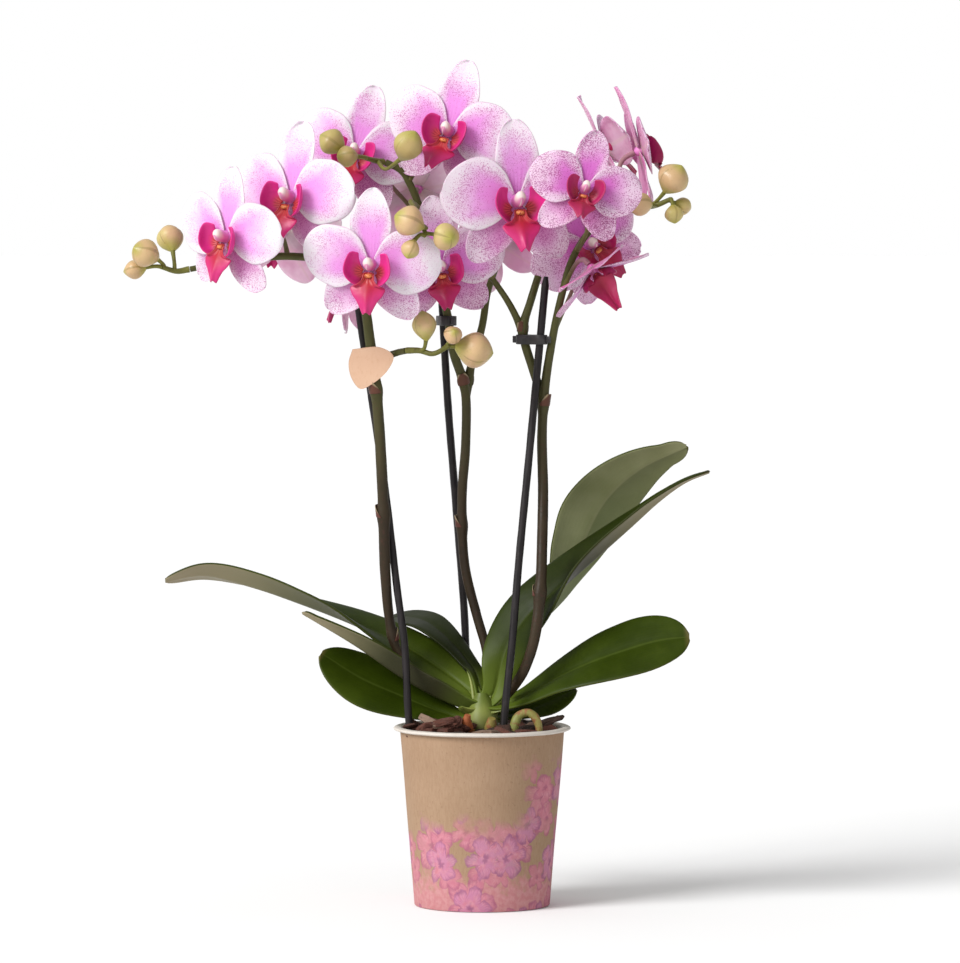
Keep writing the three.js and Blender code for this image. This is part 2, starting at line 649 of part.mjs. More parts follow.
// The lip is one folded sheet. Each row runs from its middle line outwards over the left side, which is
// mirrored: three rows that rise into the side lobes, one at the notch and one at the end of the tongue.
// The tongue of some blooms is thrust forward about the notch, by an angle in degrees, or is longer.
const LIP_ROWS = [
  [[0, -3.1, 2.4], [-2.5, -2.7, 2.4], [-4.4, 2.6, 3.4]],
  [[0, -7.4, 4.8], [-5, -5.2, 4.8], [-8.8, 5.2, 7.8]],
  [[0, -9, 6.2], [-5.2, -7, 6.2], [-9.8, -2, 10.8]],
  [[0, -11.4, 7.8], [-2.8, -10.4, 7.6], [-4.6, -9, 7.4]],
  [[0, -21, 11], [-4.4, -19.6, 10.8], [-8.2, -16, 9.8]],
];

const LIP_NOTCH = V(0, -9, 6.2);

function bloomLip({ size, thrust = 0, tongue = 1 }) {
  const last = LIP_ROWS.length - 1;
  const point = (s, t) => {
    const row = Math.round(s * last);
    const [x, y, z] = LIP_ROWS[row][Math.round(2 * abs(t))];
    const place = V(t > 0 ? -x : x, y, z);
    if (row > 2) {
      place.sub(LIP_NOTCH).multiply(V(1, tongue, tongue));
      place.applyAxisAngle(V(1, 0, 0), -radians(thrust)).add(LIP_NOTCH);
    }
    return place.multiplyScalar(size);
  };
  return blade(point, LIP_ROWS.map((_, i) => i / last), 4, LIP_THICKNESS);
}

// How a bloom is turned: its own z is the way it faces.
function facing({ turn, tip, roll }) {
  const [a, e, r] = [radians(turn), radians(tip), radians(roll)];
  const out = V(sin(a) * cos(e), -cos(a) * cos(e), sin(e));
  const right = V(0, 0, 1).cross(out).normalize();
  const up = out.clone().cross(right);
  const leanUp = up.clone().multiplyScalar(cos(r)).addScaledVector(right, sin(r));
  const leanRight = right.clone().multiplyScalar(cos(r)).addScaledVector(up, -sin(r));
  return new THREE.Matrix4().makeBasis(leanRight, leanUp, out);
}

// A pedicel leaves its stem rising, bends over and meets the back of its bloom square on.
function pedicel(bloom) {
  const out = V(0, 0, 1).applyMatrix4(facing(bloom));
  const end = V(...bloom.at).addScaledVector(out, -(HUB_BACK * bloom.size + SEAT_GAP));
  const [start, ...passed] = vectors(bloom.stalk);
  const from = passed.at(-1) ?? start;
  const span = end.distanceTo(from);
  const leave = end.clone().sub(from).setLength(1).add(V(0, 0, 0.5)).setLength(0.35 * span);
  const arrive = end.clone().addScaledVector(out, -0.42 * span);
  const bow = new THREE.CubicBezierCurve3(from, from.clone().add(leave), arrive, end);
  const lead = passed.length ? [start, ...passed.slice(0, -1)] : [];
  const route = [...lead, ...bow.getPoints(6)].map((p) => p.toArray());
  return stem(route, [1.5, 1.2, 1.3], SPIKE.stalkSides, SPIKE.stalkSteps + passed.length);
}

function spikeStem({ name, stems, joints }) {
  const stalks = BLOOMS.filter((bloom) => bloom.spike === name).map(pedicel);
  const upright = V(0, 0, 1);
  const swellings = joints.map(([x, y, z, r]) => egg(V(x, y, z - 4), upright, 8, r, { sides: 6, rings: 1 }));
  const axes = stems.map(({ route, radii, steps }) => stem(route, radii, SPIKE.sides, steps));
  return joined([...axes, ...stalks, ...swellings]);
}

function budSpray({ twig, buds }) {
  const parts = buds.flatMap(({ from, at, to, length, radius }) => {
    const way = V(...to).normalize();
    const foot = V(...at).addScaledVector(way, -length / 2);
    const start = V(...from);
    const half = start.clone().lerp(foot, 0.5).addScaledVector(way, -0.18 * start.distanceTo(foot));
    const end = foot.clone().addScaledVector(way, length * 0.2);
    const stalk = stem([from, half.toArray(), end.toArray()], [1.2, 1.1], SPIKE.stalkSides, 2);
    return [stalk, egg(foot, way, length, radius, { sides: 6, rings: 2 })];
  });
  return joined([stem(twig, [1.6, 1.2], SPIKE.stalkSides, 2 * (twig.length - 1)), ...parts]);
}

// ---- Assembly -----------------------------------------------------------------------------------------

const finish = (color, roughness) => new THREE.MeshStandardMaterial({ color, roughness, metalness: 0 });
const FINISH = {
  kraft: finish(0xb49678, 0.85),
  board: finish(0xe6e0d8, 0.8),
  bark: finish(0x4a2f22, 0.95),
  crown: finish(0x7d9a45, 0.5),
  leaf: finish(0x35521c, 0.4),
  root: finish(0x8b8f45, 0.6),
  stake: finish(0x2b262b, 0.45),
  clip: finish(0x1e1d20, 0.4),
  label: finish(0xe9bd96, 0.7),
  spike: finish(0x5d5a3c, 0.55),
  bud: finish(0xb7a86a, 0.5),
  tepal: finish(0xeec4e4, 0.5),
  lip: finish(0xc81e63, 0.45),
};

const plant = new THREE.Group();

function add(name, solid, material, parent = plant) {
  const mesh = new THREE.Mesh(geometryOf(solid), material);
  mesh.name = name;
  parent.add(mesh);
}

const stakeHoles = STAKES.map((stake) => stakeRod(stake, STAKE.hole));
const holes = [crownStem(STAKE.hole), rootLoop(STAKE.hole), ...stakeHoles];

add("paper_pot", paperPot(), FINISH.kraft);
add("pot_base", potBase(), FINISH.board);
add("bark_fill", holes.reduce((fill, hole) => fill.subtract(hole), barkFill()), FINISH.bark);
add("crown", crownStem(), FINISH.crown);
add("root_loop", rootLoop(), FINISH.root);
for (const leaf of LEAVES) add(leaf.name, leafBlade(leaf), FINISH.leaf);
for (const stake of STAKES) add(stake.name, stakeRod(stake), FINISH.stake);
for (const clip of CLIPS) add(clip.name, clipBand(clip), FINISH.clip);
add("label", label(), FINISH.label);
for (const spike of SPIKES) add(spike.name, spikeStem(spike), FINISH.spike);
for (const spray of SPRAYS) add(spray.name, budSpray(spray), FINISH.bud);
for (const bloom of BLOOMS) {
  const head = new THREE.Group();
  head.position.set(...bloom.at);
  head.setRotationFromMatrix(facing(bloom));
  plant.add(head);
  add(bloom.name, bloomBody(bloom), FINISH.tepal, head);
  add(`${bloom.name}_lip`, bloomLip(bloom), FINISH.lip, head);
}

export default plant;
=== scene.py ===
# A potted moth orchid: the finished look of every piece, laid over the solid frame.
import random
from bisect import bisect_right
from math import atan2, cos, exp, hypot, pi, radians, sin, sqrt

import bpy
from mathutils import Matrix, Vector, noise
from mathutils.geometry import interpolate_bezier
from mathutils.kdtree import KDTree


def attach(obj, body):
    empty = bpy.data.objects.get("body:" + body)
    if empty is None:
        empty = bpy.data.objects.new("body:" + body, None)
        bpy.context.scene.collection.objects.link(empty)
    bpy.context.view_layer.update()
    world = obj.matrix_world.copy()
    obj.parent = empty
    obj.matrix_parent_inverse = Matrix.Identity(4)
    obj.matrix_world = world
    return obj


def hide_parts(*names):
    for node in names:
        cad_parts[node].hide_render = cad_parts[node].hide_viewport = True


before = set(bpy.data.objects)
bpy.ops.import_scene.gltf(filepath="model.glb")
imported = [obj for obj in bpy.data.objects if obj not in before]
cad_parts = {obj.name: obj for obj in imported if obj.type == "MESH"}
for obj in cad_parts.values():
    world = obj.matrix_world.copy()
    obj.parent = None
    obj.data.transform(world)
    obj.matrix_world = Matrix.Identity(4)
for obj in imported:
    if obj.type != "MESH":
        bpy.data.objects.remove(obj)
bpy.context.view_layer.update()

MM = 0.001
UP = Vector((0, 0, 1))
GOLDEN_ANGLE = 2.39996

# ---- Sizes and places, in millimetres ------------------------------------------------------------------

POT = dict(height=93, foot=35.2, top=42.6, wall=1.1, rim=46, rim_depth=2.2)
BARK_TOP = 88.5
CHIPS = 150
# How far out the even layer, the ends of its chips and the heap reach.
CHIP_SPREAD = 38.2
CHIP_LIMIT = 39.5
HEAP_LIMIT = 36
STAKE_RADIUS = 2
LEAF_THICKNESS = 1.5
GROOVE_DEPTH = 0.9
GROOVE_WIDTH = 0.1
CLASP = dict(width=5.4, fold=34)
LEAF_FOOT = dict(width=5.8, depth=3.4, thin=0.8)
TEPAL_THICKNESS = 0.7
LIP_THICKNESS = 0.8
HUB_BACK = 3.4
CROWN_NECK = 103

# A leaf follows its midrib. Roll turns it about the rib, near and far fold up its two halves, in degrees,
# and widths are parts of its half width. Each row runs from root to tip. Its shade number is painted shade,
# how far its green is darkened where the leaf lies in shade, and from blunt on its tip closes in a round.
LEAVES = [
  dict(name="leaf_left_low", painted_shade=0.15, blunt=0.62,
    rib=[[-11, 0, 96.5], [-24, 4, 100.5], [-42, 9, 107.5], [-63, 11, 116.5], [-84, 12, 129.5]],
    half=19, roll=[34, 42], near=[6, 3], far=[8, 4],
    widths=[0.3, 0.45, 0.62, 0.8, 0.94, 1, 0.96, 0.8, 0.2]),
  dict(name="leaf_left_short", painted_shade=0.6, blunt=0.93,
    rib=[[-12, 0, 103.5], [-25, 0.5, 109], [-42, 3, 118.5], [-66, 4, 135], [-93, 3, 151.5]],
    half=12, roll=[0, 0], near=[58, 56, 30], far=[12, 6],
    widths=[0.7, 0.9, 0.95, 1, 1, 0.92, 0.75, 0.5, 0.15]),
  dict(name="leaf_left_long", painted_shade=0.45, blunt=0.6,
    rib=[
      [-9.5, 5.5, 113], [-23, 15, 122], [-38, 23.5, 131], [-68, 31, 144], [-94, 34, 154],
      [-120, 35, 163], [-146, 34, 169.5], [-166, 31, 166.5],
    ],
    half=17, roll=[37, -26], near=[12, 16, 34, 28, 8], far=[9, 10, 14, 12, 4],
    widths=[0.36, 0.7, 0.92, 1, 0.97, 0.9, 0.78, 0.64, 0.34]),
  dict(name="leaf_back", painted_shade=1, blunt=0.6,
    rib=[[-5, 12, 122], [-15, 23, 133.5], [-28, 38.5, 143.5], [-40, 55, 145.3], [-51, 66, 143.3]],
    half=12, roll=[0, 4, 22], near=[4, 0], far=[10, 4],
    widths=[0.44, 0.56, 0.72, 0.88, 0.98, 1, 0.9, 0.66, 0.24]),
  dict(name="leaf_right_tall", painted_shade=0, blunt=0.93,
    rib=[
      [7, 12, 120.5], [22, 27, 138], [43, 30, 166], [53, 28, 188], [64, 22, 209],
      [82, 13, 226], [106, 4, 238],
    ],
    half=20, roll=[-25, -50], near=[8, 10, 4], far=[8, 10, 4],
    widths=[0.3, 0.4, 0.55, 0.75, 0.92, 1, 0.85, 0.55, 0.12]),
  dict(name="leaf_right_folded", painted_shade=0.65, blunt=0.93,
    rib=[
      [7.5, -0.5, 113.5], [11, 1, 129], [21, 1, 147], [38, 0, 162.5], [60, -3, 181.5], [77, -6, 197],
      [92, -9, 211], [105, -11, 220.5], [117, -12, 225.5],
    ],
    half=19, roll=[52, 40, 10, 0, 0], near=[4, 8, 24, 20, 8], far=[12, 20, 34, 30, 12],
    widths=[0.36, 0.74, 0.9, 1, 1, 0.9, 0.7, 0.42, 0.14]),
  dict(name="leaf_right_low", painted_shade=0.1, blunt=0.7,
    rib=[
      [12, -3, 104.5], [22, -6, 108.5], [40, -9, 119], [56, -11, 126.5], [74, -12, 133],
      [91, -13, 138], [107, -14, 140],
    ],
    half=19, roll=[30, 52], near=[8, 4], far=[6, 4],
    widths=[0.32, 0.42, 0.56, 0.76, 0.92, 1, 1, 0.85, 0.24]),
  dict(name="leaf_right_small", painted_shade=0.4, blunt=0.6,
    rib=[[11.5, 2, 98], [22, 4, 100], [36, 6, 105.5], [49, 7, 111.5]],
    half=9, roll=[35, 40], near=[5, 3], far=[5, 3],
    widths=[0.4, 0.5, 0.65, 0.82, 0.95, 1, 0.9, 0.65, 0.2]),
]

STAKES = [
  dict(name="stake_left",
    route=[
      [-33.8, -8, 45], [-37.2, -9, 88], [-38.5, -9.5, 105], [-40, -9, 135], [-44, -7, 165],
      [-50, -5, 215], [-58, -8, 270], [-65, -10, 318],
    ]),
  dict(name="stake_middle",
    route=[[-8, 33, 45], [-8, 36, 92], [-9, 36, 143], [-14, 30, 210], [-18, 21, 262], [-21, 12, 316]]),
  dict(name="stake_right",
    route=[
      [11, -19, 45], [11, -19, 92], [15.5, -18.5, 138], [19, -16, 180], [23.5, -12, 226],
      [30, -5.5, 294], [33, -3, 326],
    ]),
]

CLIPS = [
  dict(name="clip_middle", z=303, stems=[[-17.5, 6.4, 2.6], [-20.3, 14.2, 2]]),
  dict(name="clip_right", z=293.5, stems=[[21.6, 0, 2.4], [30, -5.5, 2]]),
]

SPIKES = [
  dict(name="spike_left",
    stems=[
      dict(route=[
          [-17.5, 0.9, 111.3], [-26, 1, 115.6], [-38, 2.6, 124], [-44, 3, 132], [-47.5, 1, 145],
          [-50, -8, 172],
          [-51, -14, 210], [-54, -17, 262], [-57.5, -19, 292], [-62, -21, 317], [-72, -21, 332],
          [-96, -17, 336.5], [-122, -16, 335], [-150, -20, 330],
        ],
        radii=[2, 2.4, 2.9, 3, 2.9, 2.7, 2.2, 1.9, 1.5]),
      dict(route=[[-55, -18, 279], [-49, -18, 285], [-44, -19, 287], [-39, -26, 288.3]],
        radii=[2.1, 1.6]),
    ],
    joints=[[-46.5, 2, 140], [-51, -13.4, 203], [-54.5, -17.5, 268]]),
  dict(name="spike_middle",
    stems=[
      dict(route=[
          [3, 12.5, 122], [2, 16, 132], [-3, 18, 150], [-9, 18, 175], [-10.5, 17, 210], [-8.5, 16, 240],
          [-9, 14, 268], [-15, 10, 287], [-18, 6, 306], [-24, 5, 330], [-31, 5, 358], [-38, 5, 375],
          [-42, 4, 381], [-50, 3, 385],
        ],
        radii=[2.4, 2.6, 2.6, 2.5, 2.3, 2.1, 1.8]),
      dict(route=[[-8.5, 15, 262], [-6, 16, 278], [0, 17, 300], [3, 18, 318], [7, 18, 330]],
        radii=[2.2, 2, 1.6]),
    ],
    joints=[[-10.2, 17, 196], [-8, 15, 272]]),
  dict(name="spike_right",
    stems=[
      dict(route=[
          [13, -7.5, 110], [17.5, -11, 116], [22, -16, 124], [27, -20, 140], [30, -18, 165], [31, -13, 190],
          [31.5, -7, 215], [31, -4, 245], [32.5, -4, 269], [36, -4, 292], [41, -4, 316], [47, -4, 336],
          [58, -4, 352], [72, -6, 359], [84, -10, 362],
        ],
        radii=[2.6, 2.9, 2.9, 2.8, 2.5, 2.1, 1.8, 1.5]),
      dict(route=[[31.5, -4, 262], [27, -1, 276], [22, 0, 292], [21, 0, 299], [25, 1, 313], [29, 4, 326]],
        radii=[2.4, 2.3, 2]),
      dict(route=[[21.5, 0, 297], [14, -1, 312], [6, -1, 324], [2.5, -2, 329]], radii=[2, 1.4]),
    ],
    joints=[[29.8, -18.2, 163], [31.8, -4, 260], [21, 0, 299]]),
]

# Green says how green the buds of a spray still are.
SPRAYS = [
  dict(name="buds_left", green=0.15,
    twig=[[-150.4, -20, 330], [-157, -21, 329], [-164, -22, 331]],
    buds=[
      dict(root=[-163, -22, 330.5], at=[-172, -27, 338], to=[-0.6, -0.5, 0.3], length=18, radius=7.4),
      dict(root=[-164, -22, 331], at=[-178, -20, 330], to=[-0.9, 0.1, -0.2], length=13.5, radius=5),
      dict(root=[-158, -21, 329], at=[-160.5, -13, 345.5], to=[-0.2, 0.5, 0.8], length=17, radius=7),
    ]),
  dict(name="buds_centre_low", green=0,
    twig=[[-38.6, -26.6, 288.4], [-32, -32, 288.5], [-25, -36, 287], [-17, -37, 291]],
    buds=[
      dict(root=[-31.5, -34, 288.5], at=[-29.5, -37, 301], to=[-0.15, -0.1, 1], length=17, radius=6.3),
      dict(root=[-19, -37, 290], at=[-15, -42, 296.5], to=[0.2, -0.8, 0.4], length=11, radius=4.8),
      dict(root=[-20, -37, 289.5], at=[-4.5, -33, 289], to=[1, 0.2, -0.2], length=22, radius=9.3),
    ]),
  dict(name="buds_top", green=0.6,
    twig=[[-51, 2.6, 385.2], [-56, -2, 386], [-61, -8, 387.5]],
    buds=[
      dict(root=[-54, 0, 385.5], at=[-38, -30, 393], to=[0.4, -0.5, 0.8], length=20, radius=7.6),
      dict(root=[-60, -7, 387], at=[-69, -16, 388], to=[-0.9, -0.5, 0], length=13, radius=5.6),
      dict(root=[-61, -8, 387.5], at=[-77, -10, 395], to=[-0.8, 0.1, 0.5], length=16, radius=7),
    ]),
  dict(name="buds_centre", green=0.15,
    twig=[[-32.6, 2.5, 361], [-36, -14, 364], [-36, -38, 364], [-32, -58, 357], [-28.5, -66, 348]],
    buds=[
      dict(root=[-30, -63, 352.5], at=[-36.5, -73, 354.5], to=[-0.8, -0.3, 0.35], length=18, radius=8),
      dict(root=[-28.5, -66, 348.5], at=[-18.6, -70, 347], to=[0.4, -0.8, -0.1], length=15, radius=7),
      dict(root=[-29, -65.5, 347.5], at=[-36, -74, 341], to=[-0.3, -0.4, -0.8], length=12, radius=4.8),
    ]),
  dict(name="buds_right", green=0.2,
    twig=[[84.4, -10.2, 362.1], [90, -13, 363], [97, -15, 366]],
    buds=[
      dict(root=[86, -11, 362.4], at=[98, -18, 376], to=[0.5, -0.3, 0.8], length=18.5, radius=8.4),
      dict(root=[88, -12, 362.7], at=[81.5, -24, 363.5], to=[-0.8, -0.6, 0.1], length=15.5, radius=6.2),
      dict(root=[97, -15, 366], at=[98.5, -19, 358.5], to=[0.1, -0.3, -1], length=11, radius=4.9),
      dict(root=[96, -14.5, 365.5], at=[103, -10, 362.5], to=[0.8, 0.4, -0.3], length=11, radius=4.8),
    ]),
]

# Turn, tip and roll are degrees; depth is how deep the colour is. Cup folds the petals forward, thrust
# pushes the tongue forward, and tongue makes it longer. The stalk runs from the spike.
BLOOMS = [
  dict(name="bloom_l1", spike="spike_left", at=[-130, -44, 347],
    turn=-40, tip=-8, roll=8, size=0.98, depth=0.08,
    stalk=[[-138, -18, 332.5]]),
  dict(name="bloom_l2", spike="spike_left", at=[-97.6, -34, 367],
    turn=-32, tip=0, roll=5, size=1.06, depth=0.1,
    stalk=[[-110, -16.4, 336]]),
  dict(name="bloom_l3", spike="spike_left", at=[-56.5, -54, 333],
    turn=-12, tip=-12, roll=4, size=1.04, depth=0.16,
    stalk=[[-68, -21.2, 328]]),
  dict(name="bloom_l4", spike="spike_left", at=[-106, 14, 351],
    turn=-172, tip=4, roll=-8, size=0.95, depth=0.25,
    stalk=[[-100, -16.8, 336.6]]),
  dict(name="bloom_l5", spike="spike_left", at=[-69, 18, 321],
    turn=-104, tip=5, roll=0, size=0.88, depth=0.25,
    stalk=[[-66, -21, 325]]),
  dict(name="bloom_m1", spike="spike_middle", at=[-17, -12, 401],
    turn=-19, tip=0, roll=15, size=1.02, thrust=28, depth=0.28,
    stalk=[[-38, 4.8, 375.5]]),
  dict(name="bloom_m2", spike="spike_middle", at=[-66, 22, 390],
    turn=-8, tip=4, roll=13, size=1, depth=0.2,
    stalk=[[-29, 5, 350], [-34, 26, 358], [-52, 34, 378]]),
  dict(name="bloom_m3", spike="spike_middle", at=[-21.3, -14, 332],
    turn=5, tip=-16, roll=-8, size=0.98, thrust=24, depth=0.42,
    stalk=[[-21, 5.5, 318]]),
  dict(name="bloom_m4", spike="spike_middle", at=[-34, 44, 371],
    turn=176, tip=2, roll=0, size=0.92, depth=0.15,
    stalk=[[-34, 5, 366]]),
  dict(name="bloom_m5", spike="spike_middle", at=[6, 34, 344],
    turn=-140, tip=-6, roll=20, size=0.85, depth=0.15,
    stalk=[[6, 18, 328]]),
  dict(name="bloom_r1", spike="spike_right", at=[18, -30, 365],
    turn=12, tip=-4, roll=-3, size=1.14, thrust=12, depth=0.22,
    stalk=[[5, -1.2, 325]]),
  dict(name="bloom_r2", spike="spike_right", at=[52, -58, 371],
    turn=3, tip=4, roll=13, size=0.84, thrust=30, depth=0.8,
    stalk=[[49, -4, 339.5], [54, -26, 351]]),
  dict(name="bloom_r3", spike="spike_right", at=[56, 28, 343.3],
    turn=26, tip=-8, roll=-45, size=0.98, depth=0.72,
    stalk=[[37, -4, 297], [41, 34, 304], [51, 46, 328]]),
  dict(name="bloom_r4", spike="spike_right", at=[56.5, -17, 330],
    turn=90, tip=-56, roll=90, size=0.86, cup=27, thrust=56, tongue=1.6, depth=0.85,
    stalk=[[42, -4, 320]]),
  dict(name="bloom_r5", spike="spike_right", at=[82, 8, 391],
    turn=95, tip=17, roll=-5, size=0.97, cup=4, depth=0.85,
    stalk=[[72, -6, 359]]),
  dict(name="bloom_r6", spike="spike_right", at=[64, 43, 392],
    turn=96, tip=27, roll=-6, size=0.85, cup=26, depth=0.75,
    stalk=[[60, -4.2, 353.5]]),
]

# Lean is the way that a tepal points, in degrees from the right; foot is how far out and forward it
# starts; half is its half width; rise, bend and sag shape it from the foot to the tip and across.
TEPALS = [
  dict(kind="sepal", lean=90, foot=[1.8, -1.2], reach=35, half=10.5, rise=1, bend=5, sag=-1.5),
  dict(kind="sepal", lean=230, foot=[1.8, -1.2], reach=32, half=10.5, rise=1, bend=5, sag=-1.5),
  dict(kind="sepal", lean=310, foot=[1.8, -1.2], reach=32, half=10.5, rise=1, bend=5, sag=-1.5),
  dict(kind="petal", lean=170, foot=[1.8, 0.6], reach=33, half=16.5, rise=2, bend=4.5, sag=1.5),
  dict(kind="petal", lean=10, foot=[1.8, 0.6], reach=33, half=16.5, rise=2, bend=4.5, sag=1.5),
]
ROOT_TIPS = [
  dict(route=[[-4, -8, 86], [-6, -17, 92], [-8, -20.5, 96.5], [-7.4, -22, 100.5]],
    radii=[2.2, 2.6, 2.2, 2.7, 1.6], red=1.0),
  dict(route=[[3, -7, 86], [4, -14, 91], [4.6, -18, 95], [5, -19.5, 98.5]],
    radii=[2.8, 3.2, 3.5, 3.2, 2.0], red=0.25),
]
ROOT_ROUTE = [
  [16.5, -20, 80], [16.5, -20, 94], [19, -20, 100], [24, -20, 101.5], [28.5, -20, 97], [29.5, -20, 80],
]
LABEL_OUTLINE = [[-9, 10], [5, 11], [12, 6.5], [9, -1], [1, -8], [-5, -10.5], [-9.5, -5], [-11, 3]]
LABEL_PLACE = dict(at=[-57.6, -21.6, 279], lean=3.8)

# ---- Modelling helpers ---------------------------------------------------------------------------------


def clear_selection():
    if bpy.context.object and bpy.context.object.mode != "OBJECT":
        bpy.ops.object.mode_set(mode="OBJECT")
    bpy.ops.object.select_all(action="DESELECT")


def take(*pieces):
    clear_selection()
    for piece in pieces:
        piece.select_set(True)
    bpy.context.view_layer.objects.active = pieces[0]
    return pieces[0]


def edit(piece, how="SELECT"):
    take(piece)
    bpy.ops.object.mode_set(mode="EDIT")
    bpy.ops.mesh.select_all(action=how)


def leave_edit():
    bpy.ops.object.mode_set(mode="OBJECT")


def face_outward(piece):
    edit(piece)
    bpy.ops.mesh.normals_make_consistent(inside=False)
    leave_edit()
    return piece


def modify(piece, kind, **settings):
    take(piece)
    modifier = piece.modifiers.new(kind.title(), kind)
    for name, value in settings.items():
        setattr(modifier, name, value)
    bpy.ops.object.modifier_apply(modifier=modifier.name)


def smooth(piece, angle=None):
    take(piece)
    if angle is None:
        bpy.ops.object.shade_smooth()
    else:
        bpy.ops.object.shade_smooth_by_angle(angle=radians(angle))


def join(pieces):
    take(*pieces)
    if len(pieces) > 1:
        bpy.ops.object.join()
    return pieces[0]


def coat(piece, *finishes):
    for each in finishes:
        piece.data.materials.append(each)
    return piece


def write_tone(piece, tone):
    """Writes on each point its tone: the depth of its colour, and on the leaves how far painted shade
    darkens their green.
    """
    depth = piece.data.attributes.new("tone", "FLOAT", "POINT")
    depth.data.foreach_set("value", [tone] * len(piece.data.vertices))


def mark(piece, lay, tone):
    """Writes where each point lies on its piece (across, along, kind) and its tone: the depth of its
    colour, and on the leaves how far painted shade darkens their green.
    """
    where = piece.data.attributes.new("lay", "FLOAT_VECTOR", "POINT")
    where.data.foreach_set("vector", [c for row in lay for c in row])
    write_tone(piece, tone)


def complete(piece, name, node):
    """The finished piece takes its node's place in the plant."""
    piece.name = name
    piece.data.name = name
    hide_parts(node)
    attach(piece, "root")
    return piece


def along(values, u):
    """A value that runs smoothly through a row of values as u goes from 0 to 1."""
    place = min(max(u, 0), 1) * (len(values) - 1)
    i = min(int(place), len(values) - 2)
    x = place - i
    b, c = values[i], values[i + 1]
    a = values[i - 1] if i > 0 else 2 * b - c
    d = values[i + 2] if i + 2 < len(values) else 2 * c - b
    return b + 0.5 * x * (c - a + x * (2 * a - 5 * b + 4 * c - d + x * (3 * (b - c) + d - a)))


def between(knots, s):
    """A value read from rows of (place, value)."""
    for (s0, w0), (s1, w1) in zip(knots, knots[1:]):
        if s <= s1:
            x = (s - s0) / (s1 - s0)
            return w0 + (w1 - w0) * x * (0.5 + 1.5 * x - x * x)
    return knots[-1][1]


class Route:
    """A smooth line through its knots, measured along its length from 0 to 1."""

    def __init__(self, knots):
        knots = [Vector(k) for k in knots]
        row = [2 * knots[0] - knots[1], *knots, 2 * knots[-1] - knots[-2]]
        self.points = [knots[0]]
        for a, b, c, d in zip(row, row[1:], row[2:], row[3:]):
            before, here, after = (sqrt(max((q - p).length, 1e-6)) for p, q in ((a, b), (b, c), (c, d)))
            leave = (b - a) / before - (c - a) / (before + here) + (c - b) / here
            arrive = (c - b) / here - (d - b) / (here + after) + (d - c) / after
            bend = interpolate_bezier(b, b + leave * here / 3, c - arrive * here / 3, c, 24)
            self.points += bend[1:]
        self.marks = [0]
        for p, q in zip(self.points, self.points[1:]):
            self.marks.append(self.marks[-1] + (q - p).length)
        self.length = self.marks[-1]

    def point(self, u):
        goal = min(max(u, 0), 1) * self.length
        i = min(bisect_right(self.marks, goal) - 1, len(self.points) - 2)
        step = self.marks[i + 1] - self.marks[i]
        return self.points[i].lerp(self.points[i + 1], (goal - self.marks[i]) / step)

    def heading(self, u):
        return (self.point(u + 0.01) - self.point(u - 0.01)).normalized()


def sheet(across, lengthwise, place, thickness, finishes, look=None, kind=0.0, tone=0.0, closer=True):
    """A blade laid from a flat grid: place(s, t) with s from root to tip and t from side to side.
    look is a point on the side that the first finish faces."""
    clear_selection()
    bpy.ops.mesh.primitive_grid_add(x_subdivisions=across, y_subdivisions=lengthwise, size=2)
    piece = bpy.context.object
    lay = []
    for vertex in piece.data.vertices:
        t, u = vertex.co.x, (vertex.co.y + 1) / 2
        s = sin(pi * u / 2) if closer else u
        lay.append((t, s, kind))
        vertex.co = place(s, t) * MM
    mark(piece, lay, tone)
    if look is not None:
        faces = piece.data.polygons
        facing_it = sum((face.normal.dot(look * MM - face.center) > 0) * face.area for face in faces)
        if facing_it < 0.5 * sum(face.area for face in faces):
            edit(piece)
            bpy.ops.mesh.flip_normals()
            leave_edit()
    coat(piece, *finishes)
    modify(piece, "SOLIDIFY", thickness=thickness * MM, offset=0, material_offset=len(finishes) - 1)
    modify(piece, "SUBSURF", levels=1, render_levels=1)
    smooth(piece)
    return piece


def stem(route, radii, steps, finish, kind=0.0, tone=0.0, fine=2):
    """A round stem along a smooth line. radii is a row, or a rule of the place along the line."""
    clear_selection()
    bpy.ops.curve.primitive_nurbs_path_add()
    piece = bpy.context.object
    piece.data.splines.clear()
    line = piece.data.splines.new("POLY")
    line.points.add(steps)
    for i, knot in enumerate(line.points):
        u = i / steps
        knot.co = (*(route.point(u) * MM), 1)
        knot.radius = radii(u) if callable(radii) else along(radii, u)
    piece.data.dimensions = "3D"
    piece.data.bevel_depth = MM
    piece.data.bevel_resolution = fine
    piece.data.use_fill_caps = True
    bpy.ops.object.convert(target="MESH")
    piece = bpy.context.object
    marks = KDTree(4 * steps + 1)
    for i in range(4 * steps + 1):
        marks.insert(route.point(i / (4 * steps)) * MM, i)
    marks.balance()
    lay = [(0, marks.find(vertex.co)[1] / (4 * steps), kind) for vertex in piece.data.vertices]
    mark(piece, lay, tone)
    piece.data.materials.clear()
    coat(piece, finish)
    smooth(piece)
    return piece


def turned(profile, sides, shut=False):
    """A wall drawn round the upright axis: a circle extruded and resized from ring to ring."""
    clear_selection()
    (radius, height), *rings = profile
    bpy.ops.mesh.primitive_circle_add(vertices=sides, radius=radius * MM, location=(0, 0, height * MM))
    piece = bpy.context.object
    bpy.ops.object.transform_apply(location=True)
    bpy.ops.object.mode_set(mode="EDIT")
    bpy.ops.mesh.select_all(action="SELECT")
    for wide, high in rings:
        bpy.ops.mesh.extrude_region_move(TRANSFORM_OT_translate={"value": (0, 0, (high - height) * MM)})
        grow = wide / radius
        bpy.ops.transform.resize(value=(grow, grow, 1), center_override=(0, 0, high * MM))
        radius, height = wide, high
    bpy.ops.mesh.select_all(action="SELECT")
    bpy.ops.mesh.remove_doubles(threshold=1e-6)
    if shut:
        bpy.ops.mesh.select_all(action="DESELECT")
        bpy.ops.mesh.select_non_manifold()
        bpy.ops.mesh.fill_holes(sides=0)
    return face_outward(piece)


